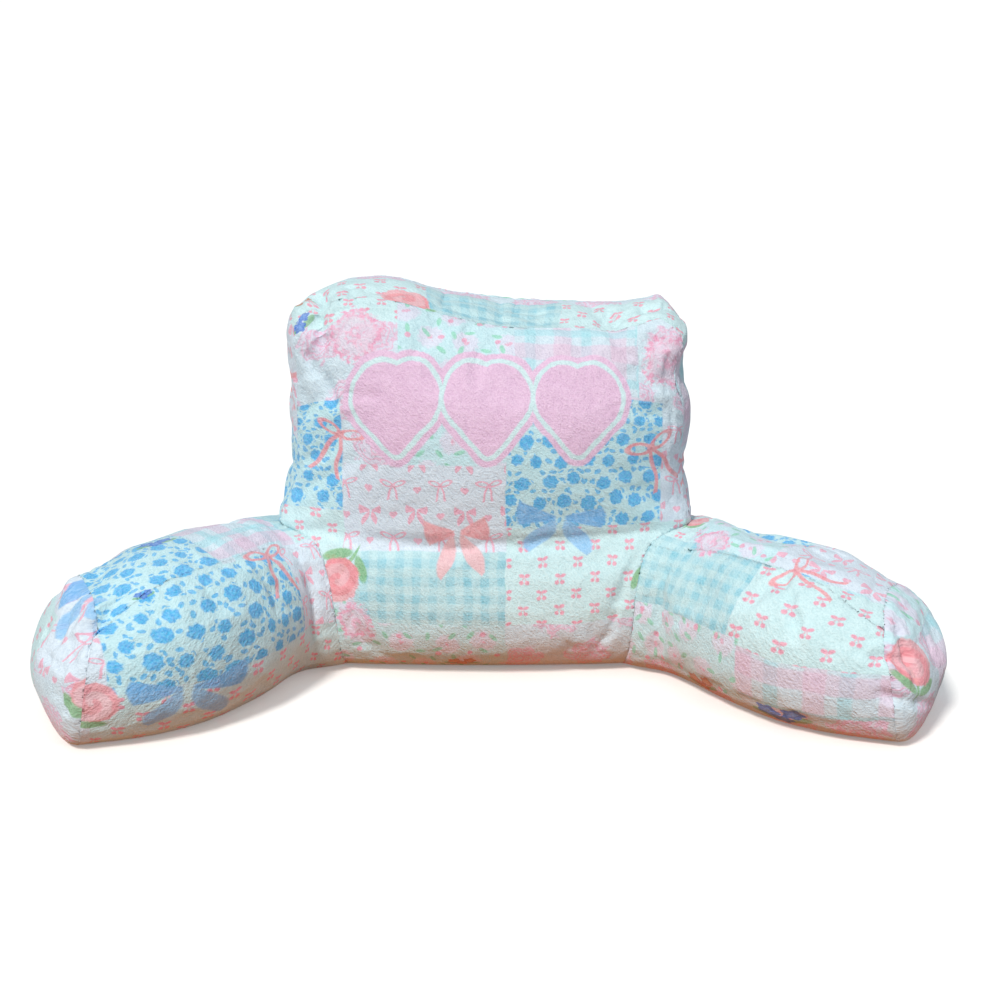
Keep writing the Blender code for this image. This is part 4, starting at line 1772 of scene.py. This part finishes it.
FRONT_CLOTH = Plush(
    "front_print",
    SPRIGS,
    (
        Patch(ROSES, -0.30, -0.100, 0.250, 0.60),
        Patch(CHERRIES, -0.20, -0.100, 0.418, 0.60),
        Patch(PLAID, 0.028, 0.165, 0.335, 0.60),
        Patch(ROSES, 0.165, 0.30, 0.300, 0.60),
        Patch(FLOWERS, -0.30, -0.162, 0.206, 0.338),
        Patch(CHERRIES, -0.30, -0.162, 0.100, 0.206),
        Patch(BOWS, -0.162, 0.019, 0.160, 0.260),
        Patch(FLOWERS, 0.019, 0.192, 0.188, 0.335),
        Patch(BOWS, 0.192, 0.30, 0.188, 0.310),
        Patch(GINGHAM, -0.150, 0.019, 0.080, 0.160),
        Patch(CHERRIES, 0.019, 0.30, 0.080, 0.188),
        Patch(ROSES, 0.019, 0.30, -0.10, 0.080),
    ),
    (
        Bloom(-0.146, 0.404, 0.036, 1.0, 10.0, *PINKS),
        Bloom(0.200, 0.388, 0.038, 0.9, 40.0, *PINKS),
        Bloom(-0.150, 0.078, 0.026, 0.9, 70.0, *PINKS),
        Posy(-0.212, 0.430, 0.020, 1.0, 20.0, *DEEP_BLUES),
        Posy(-0.030, 0.020, 0.020, 0.8, 0.0, *TANS),
        Rosebud(-0.164, 0.132, 0.036, 1.0, 150.0),
        Rosebud(0.184, 0.118, 0.032, 1.0, -160.0),
        FullBow(-0.034, 0.166, 0.038, 1.0, 6.0, ink(254, 164, 170), ink(250, 200, 204)),
        FullBow(0.078, 0.186, 0.052, 0.62, -5.0, *SKY_BLUES),
        RibbonBow(-0.165, 0.294, 0.028, 1.0, -22.0),
        RibbonBow(0.180, 0.278, 0.028, 1.0, 26.0),
        HeartRow(-0.002, 0.322, 0.0378, 1.18, 0.0, *HEART_INKS),
    ),
)
BAND_CLOTH = Plush(
    "boxing_print",
    BOWS,
    (
        Patch(FLOWERS, -0.20, 0.130, -0.10, 0.30),
        Patch(CHERRIES, 0.235, 0.395, -0.10, 0.145),
        Patch(GINGHAM, 0.395, 0.540, -0.10, 0.145),
        Patch(CHERRIES, 0.540, 0.700, -0.10, 0.145),
        Patch(ROSES, 0.235, 0.700, 0.145, 0.40),
        Patch(PLAID, 0.700, 0.800, -0.10, 0.40),
    ),
    (
        Rosebud(0.374, 0.086, 0.034, 0.8, 8.0),
        Posy(0.262, 0.110, 0.014, 1.0, 0.0, *TANS),
        RibbonBow(0.180, 0.120, 0.028),
        RibbonBow(0.830, 0.120, 0.028),
    ),
)
REAR_CLOTH = Plush(
    "rear_print",
    SPRIGS,
    (
        Patch(CHERRIES, -0.30, -0.110, 0.290, 0.60),
        Patch(BOWS, 0.010, 0.150, 0.290, 0.60),
        Patch(FLOWERS, -0.30, -0.150, 0.150, 0.290),
        Patch(GINGHAM, -0.150, -0.010, 0.170, 0.290),
        Patch(ROSES, -0.010, 0.120, 0.150, 0.290),
        Patch(CHERRIES, 0.120, 0.30, 0.150, 0.290),
        Patch(PLAID, -0.30, -0.090, -0.10, 0.150),
        Patch(FLOWERS, 0.060, 0.200, -0.10, 0.130),
        Patch(BOWS, 0.200, 0.30, -0.10, 0.150),
    ),
    (
        FullBow(-0.075, 0.175, 0.038),
        FullBow(0.115, 0.140, 0.050, 0.62, 4.0, *SKY_BLUES),
        RibbonBow(-0.130, 0.310, 0.028, 1.0, 14.0),
        Rosebud(0.060, 0.320, 0.034, 1.0, -12.0),
        Posy(-0.030, 0.080, 0.024, 1.0, 10.0, *DEEP_BLUES),
        Bloom(0.030, 0.060, 0.034, 0.9, 0.0, *PINKS),
    ),
)
LEFT_CLOTH = Plush(
    "left_arm_print",
    ROSES,
    (
        Patch(CHERRIES, -0.20, 0.070, 0.0, 0.40),
        Patch(GINGHAM, 0.040, 0.075, 0.030, 0.12),
        Patch(PLAID, 0.070, 0.192, 0.0, 0.13),
        Patch(FLOWERS, 0.192, 0.335, 0.0, 0.110),
        Patch(BOWS, 0.192, 0.335, 0.110, 0.24),
        Patch(SPRIGS, 0.070, 0.192, 0.130, 0.30),
        Patch(FLOWERS, 0.110, 0.318, -0.106, 0.0),
        Patch(BOWS, -0.20, 0.110, -0.106, 0.0),
        Patch(BOWS, 0.318, 0.60, -0.150, 0.0),
        Patch(CHERRIES, -0.20, 0.335, -0.40, -0.106),
        Patch(BOWS, 0.80, 1.30, 0.075, 0.40),
        Patch(CHERRIES, 0.80, 1.010, 0.030, 0.125),
    ),
    (
        Posy(0.222, 0.078, 0.024, 0.8, 15.0, *DEEP_BLUES),
        Posy(0.272, -0.006, 0.010, 1.0, 0.0, *DEEP_BLUES),
        RibbonBow(0.130, -0.008, 0.030, 0.9, 0.0),
        FullBow(0.338, 0.010, 0.036, 1.0, -50.0, *SKY_BLUES),
        FullBow(1.030, 0.142, 0.036, 0.9, 30.0, *SKY_BLUES),
        FullBow(0.255, -0.122, 0.052, 0.55, 3.0, *SKY_BLUES),
        Rosebud(0.335, -0.120, 0.030, 1.0, 40.0, BLUSH, CORAL),
        Rosebud(1.100, 0.066, 0.030, 1.0, -20.0, BLUSH, CORAL),
    ),
)
RIGHT_CLOTH = Plush(
    "right_arm_print",
    ROSES,
    (
        Patch(CHERRIES, -0.20, 0.075, 0.0, 0.40),
        Patch(SPRIGS, 0.075, 0.190, 0.0, 0.078),
        Patch(FLOWERS, 0.060, 0.190, 0.078, 0.20),
        Patch(GINGHAM, -0.20, 0.187, -0.085, 0.0),
        Patch(BOWS, 0.190, 0.60, 0.0, 0.30),
        Patch(CHERRIES, 0.187, 0.345, -0.092, 0.0),
        Patch(FLOWERS, 0.226, 0.252, -0.0025, 0.0025),
        Patch(FLOWERS, 0.272, 0.292, -0.0025, 0.0025),
        Patch(SPRIGS, -0.20, 0.200, -0.150, -0.085),
        Patch(PLAID, 0.200, 0.60, -0.140, -0.092),
        Patch(SPRIGS, 0.80, 1.30, 0.110, 0.40),
        Patch(PLAID, 0.80, 1.020, -0.10, 0.110),
    ),
    (
        Bloom(0.110, 0.006, 0.028, 0.9, 0.0, *PINKS),
        Rosebud(0.052, 0.052, 0.024),
        RibbonBow(0.220, 0.004, 0.028, 0.9, 78.0),
        Posy(0.237, -0.150, 0.026, 0.8, 0.0, *DEEP_BLUES),
        Posy(0.146, -0.152, 0.022, 0.8, 0.0, *TANS),
        Rosebud(1.062, 0.084, 0.032, 1.0, 25.0),
    ),
)

CREASES = (
    # the front panel's upper left corner
    Crease((-0.208, 0.062, 0.366), (-0.190, 0.044, 0.332), 0.016, 0.0070),
    Crease((-0.186, 0.044, 0.342), (-0.168, 0.031, 0.302), 0.012, 0.0070),
    Crease((-0.190, 0.064, 0.396), (-0.172, 0.050, 0.368), 0.014, 0.0040),
    Crease((-0.190, 0.088, 0.414), (-0.184, 0.048, 0.362), 0.012, 0.0085),
    Crease((-0.166, 0.033, 0.324), (-0.146, 0.028, 0.319), 0.005, 0.0014),
    # across it
    Crease((-0.160, 0.028, 0.312), (-0.118, 0.022, 0.310), 0.005, 0.0013),
    Crease((-0.150, 0.022, 0.290), (-0.080, 0.010, 0.294), 0.006, 0.0012),
    Crease((-0.140, 0.020, 0.240), (-0.100, 0.012, 0.243), 0.005, 0.0010),
    Crease((0.110, 0.016, 0.294), (0.152, 0.030, 0.312), 0.005, 0.0015),
    Crease((0.112, 0.015, 0.288), (0.155, 0.028, 0.300), 0.005, 0.0013),
    Crease((0.114, 0.014, 0.280), (0.150, 0.025, 0.284), 0.005, 0.0013),
    Crease((-0.096, -0.008, 0.127), (-0.050, -0.010, 0.125), 0.006, 0.0018),
    Crease((-0.094, -0.018, 0.107), (-0.050, -0.020, 0.104), 0.006, 0.0018),
    Crease((-0.052, -0.020, 0.104), (-0.006, -0.018, 0.112), 0.006, 0.0018),
    Crease((0.030, -0.010, 0.125), (0.075, -0.008, 0.128), 0.006, 0.0010),
    # its bend, filled out a little
    Crease((-0.185, 0.012, 0.166), (0.190, 0.014, 0.164), 0.026, -0.0035),
    # its right edge
    Crease((0.196, 0.064, 0.360), (0.204, 0.052, 0.318), 0.012, 0.0035),
    Crease((0.175, 0.070, 0.392), (0.192, 0.064, 0.366), 0.010, 0.0030),
    # the top: pinches at both corners, a knob at the left one, and an even ridge between
    Crease((-0.192, 0.124, 0.412), (-0.178, 0.076, 0.404), 0.010, 0.0060),
    Crease((-0.206, 0.128, 0.410), (-0.200, 0.092, 0.408), 0.012, -0.0050),
    Crease((-0.158, 0.116, 0.424), (-0.150, 0.080, 0.414), 0.010, 0.0030),
    Crease((-0.085, 0.166, 0.402), (0.190, 0.166, 0.390), 0.075, -0.0120),
    Crease((0.162, 0.120, 0.398), (0.198, 0.108, 0.396), 0.022, 0.0040),
    Crease((0.132, 0.140, 0.392), (0.144, 0.086, 0.384), 0.010, 0.0050),
    Crease((0.176, 0.130, 0.400), (0.168, 0.084, 0.386), 0.010, 0.0030),
    Crease((-0.080, 0.120, 0.412), (0.020, 0.130, 0.392), 0.008, 0.0020),
    Crease((0.020, 0.120, 0.388), (0.110, 0.120, 0.384), 0.008, 0.0018),
    # the left arm's inner side
    Crease((-0.196, -0.006, 0.132), (-0.192, -0.026, 0.070), 0.010, 0.0022),
    Crease((-0.300, -0.140, 0.135), (-0.310, -0.165, 0.100), 0.010, 0.0018),
    # its end: the ear at the seam, the fold that runs into it, and the gathers
    Crease((-0.408, -0.066, 0.152), (-0.450, -0.124, 0.138), 0.022, -0.0110),
    Crease((-0.376, -0.140, 0.144), (-0.412, -0.180, 0.104), 0.012, 0.0090),
    Crease((-0.398, -0.146, 0.140), (-0.432, -0.172, 0.108), 0.010, -0.0050),
    Crease((-0.452, -0.156, 0.090), (-0.414, -0.192, 0.084), 0.009, 0.0080),
    Crease((-0.424, -0.130, 0.140), (-0.442, -0.162, 0.102), 0.009, 0.0060),
    Crease((-0.456, -0.124, 0.116), (-0.458, -0.150, 0.060), 0.010, 0.0055),
    Crease((-0.444, -0.172, 0.062), (-0.408, -0.198, 0.040), 0.010, 0.0055),
    Crease((-0.392, -0.178, 0.128), (-0.398, -0.196, 0.080), 0.009, 0.0026),
    # the right arm's inner side: two folds with a ridge between them
    Crease((0.197, -0.005, 0.136), (0.196, -0.036, 0.060), 0.009, 0.0024),
    Crease((0.309, -0.086, 0.156), (0.311, -0.156, 0.120), 0.011, 0.0085),
    Crease((0.322, -0.104, 0.152), (0.324, -0.168, 0.106), 0.010, -0.0050),
    Crease((0.336, -0.108, 0.152), (0.338, -0.164, 0.110), 0.010, 0.0055),
    Crease((0.376, -0.184, 0.104), (0.414, -0.182, 0.096), 0.010, 0.0060),
    Crease((0.368, -0.176, 0.118), (0.406, -0.172, 0.118), 0.008, 0.0035),
    # its end
    Crease((0.410, -0.158, 0.126), (0.430, -0.182, 0.070), 0.011, 0.0080),
    Crease((0.452, -0.118, 0.128), (0.460, -0.146, 0.078), 0.010, 0.0055),
    Crease((0.470, -0.082, 0.106), (0.470, -0.136, 0.064), 0.018, -0.0065),
    Crease((0.386, -0.200, 0.068), (0.442, -0.180, 0.048), 0.011, 0.0080),
    Crease((0.424, -0.188, 0.054), (0.454, -0.158, 0.040), 0.010, 0.0055),
)


@dataclass
class Pillow:
    """The whole pillow: its nine panels and their five printed cloths."""

    panels: list[Panel] = field(default_factory=list)

    def build(self) -> None:
        """Pads every panel."""
        left = Sleeve(LEFT_ROUTE, 0.078, 0.098, 56.0, Side.LEFT)
        right = Sleeve(RIGHT_ROUTE, 0.076, 0.096, 60.0, Side.RIGHT)
        left_end, right_end = EndCap(LEFT_ROUTE, Side.LEFT), EndCap(RIGHT_ROUTE, Side.RIGHT)
        self.panels = [
            Panel("front_panel", FRONT_CLOTH, Upright(FRONT_ROUTE)),
            Panel("boxing_band", BAND_CLOTH, Strip(BAND_ROUTE)),
            Panel("rear_panel", REAR_CLOTH, Upright(REAR_ROUTE, mirrored=True)),
            Panel("arm_left_upper", LEFT_CLOTH, left),
            Panel("arm_left_inner", LEFT_CLOTH, left),
            Panel("arm_left_end", LEFT_CLOTH, left_end),
            Panel("arm_right_upper", RIGHT_CLOTH, right),
            Panel("arm_right_inner", RIGHT_CLOTH, right),
            Panel("arm_right_end", RIGHT_CLOTH, right_end),
        ]
        for panel in self.panels:
            panel.copy_solid()
        for panel in self.panels:
            panel.build(self.panels, CREASES)
            LOG.info("%s: %d faces", panel.piece.name, len(panel.piece.data.polygons))

    def dress(self) -> None:
        """Prints and dresses every panel."""
        cloths = (FRONT_CLOTH, BAND_CLOTH, REAR_CLOTH, LEFT_CLOTH, RIGHT_CLOTH)
        materials = {cloth.slot: cloth.make() for cloth in cloths}
        for panel in self.panels:
            panel.dress(materials[panel.cloth.slot])


def main() -> None:
    """Builds the pillow and its studio in order."""
    logging.basicConfig(level=logging.INFO, format="%(message)s")
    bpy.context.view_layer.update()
    studio = Studio()
    studio.build()
    pillow = Pillow()
    pillow.build()
    pillow.dress()
    LOG.info("pillow dressed")


if __name__ == "__main__":
    main()
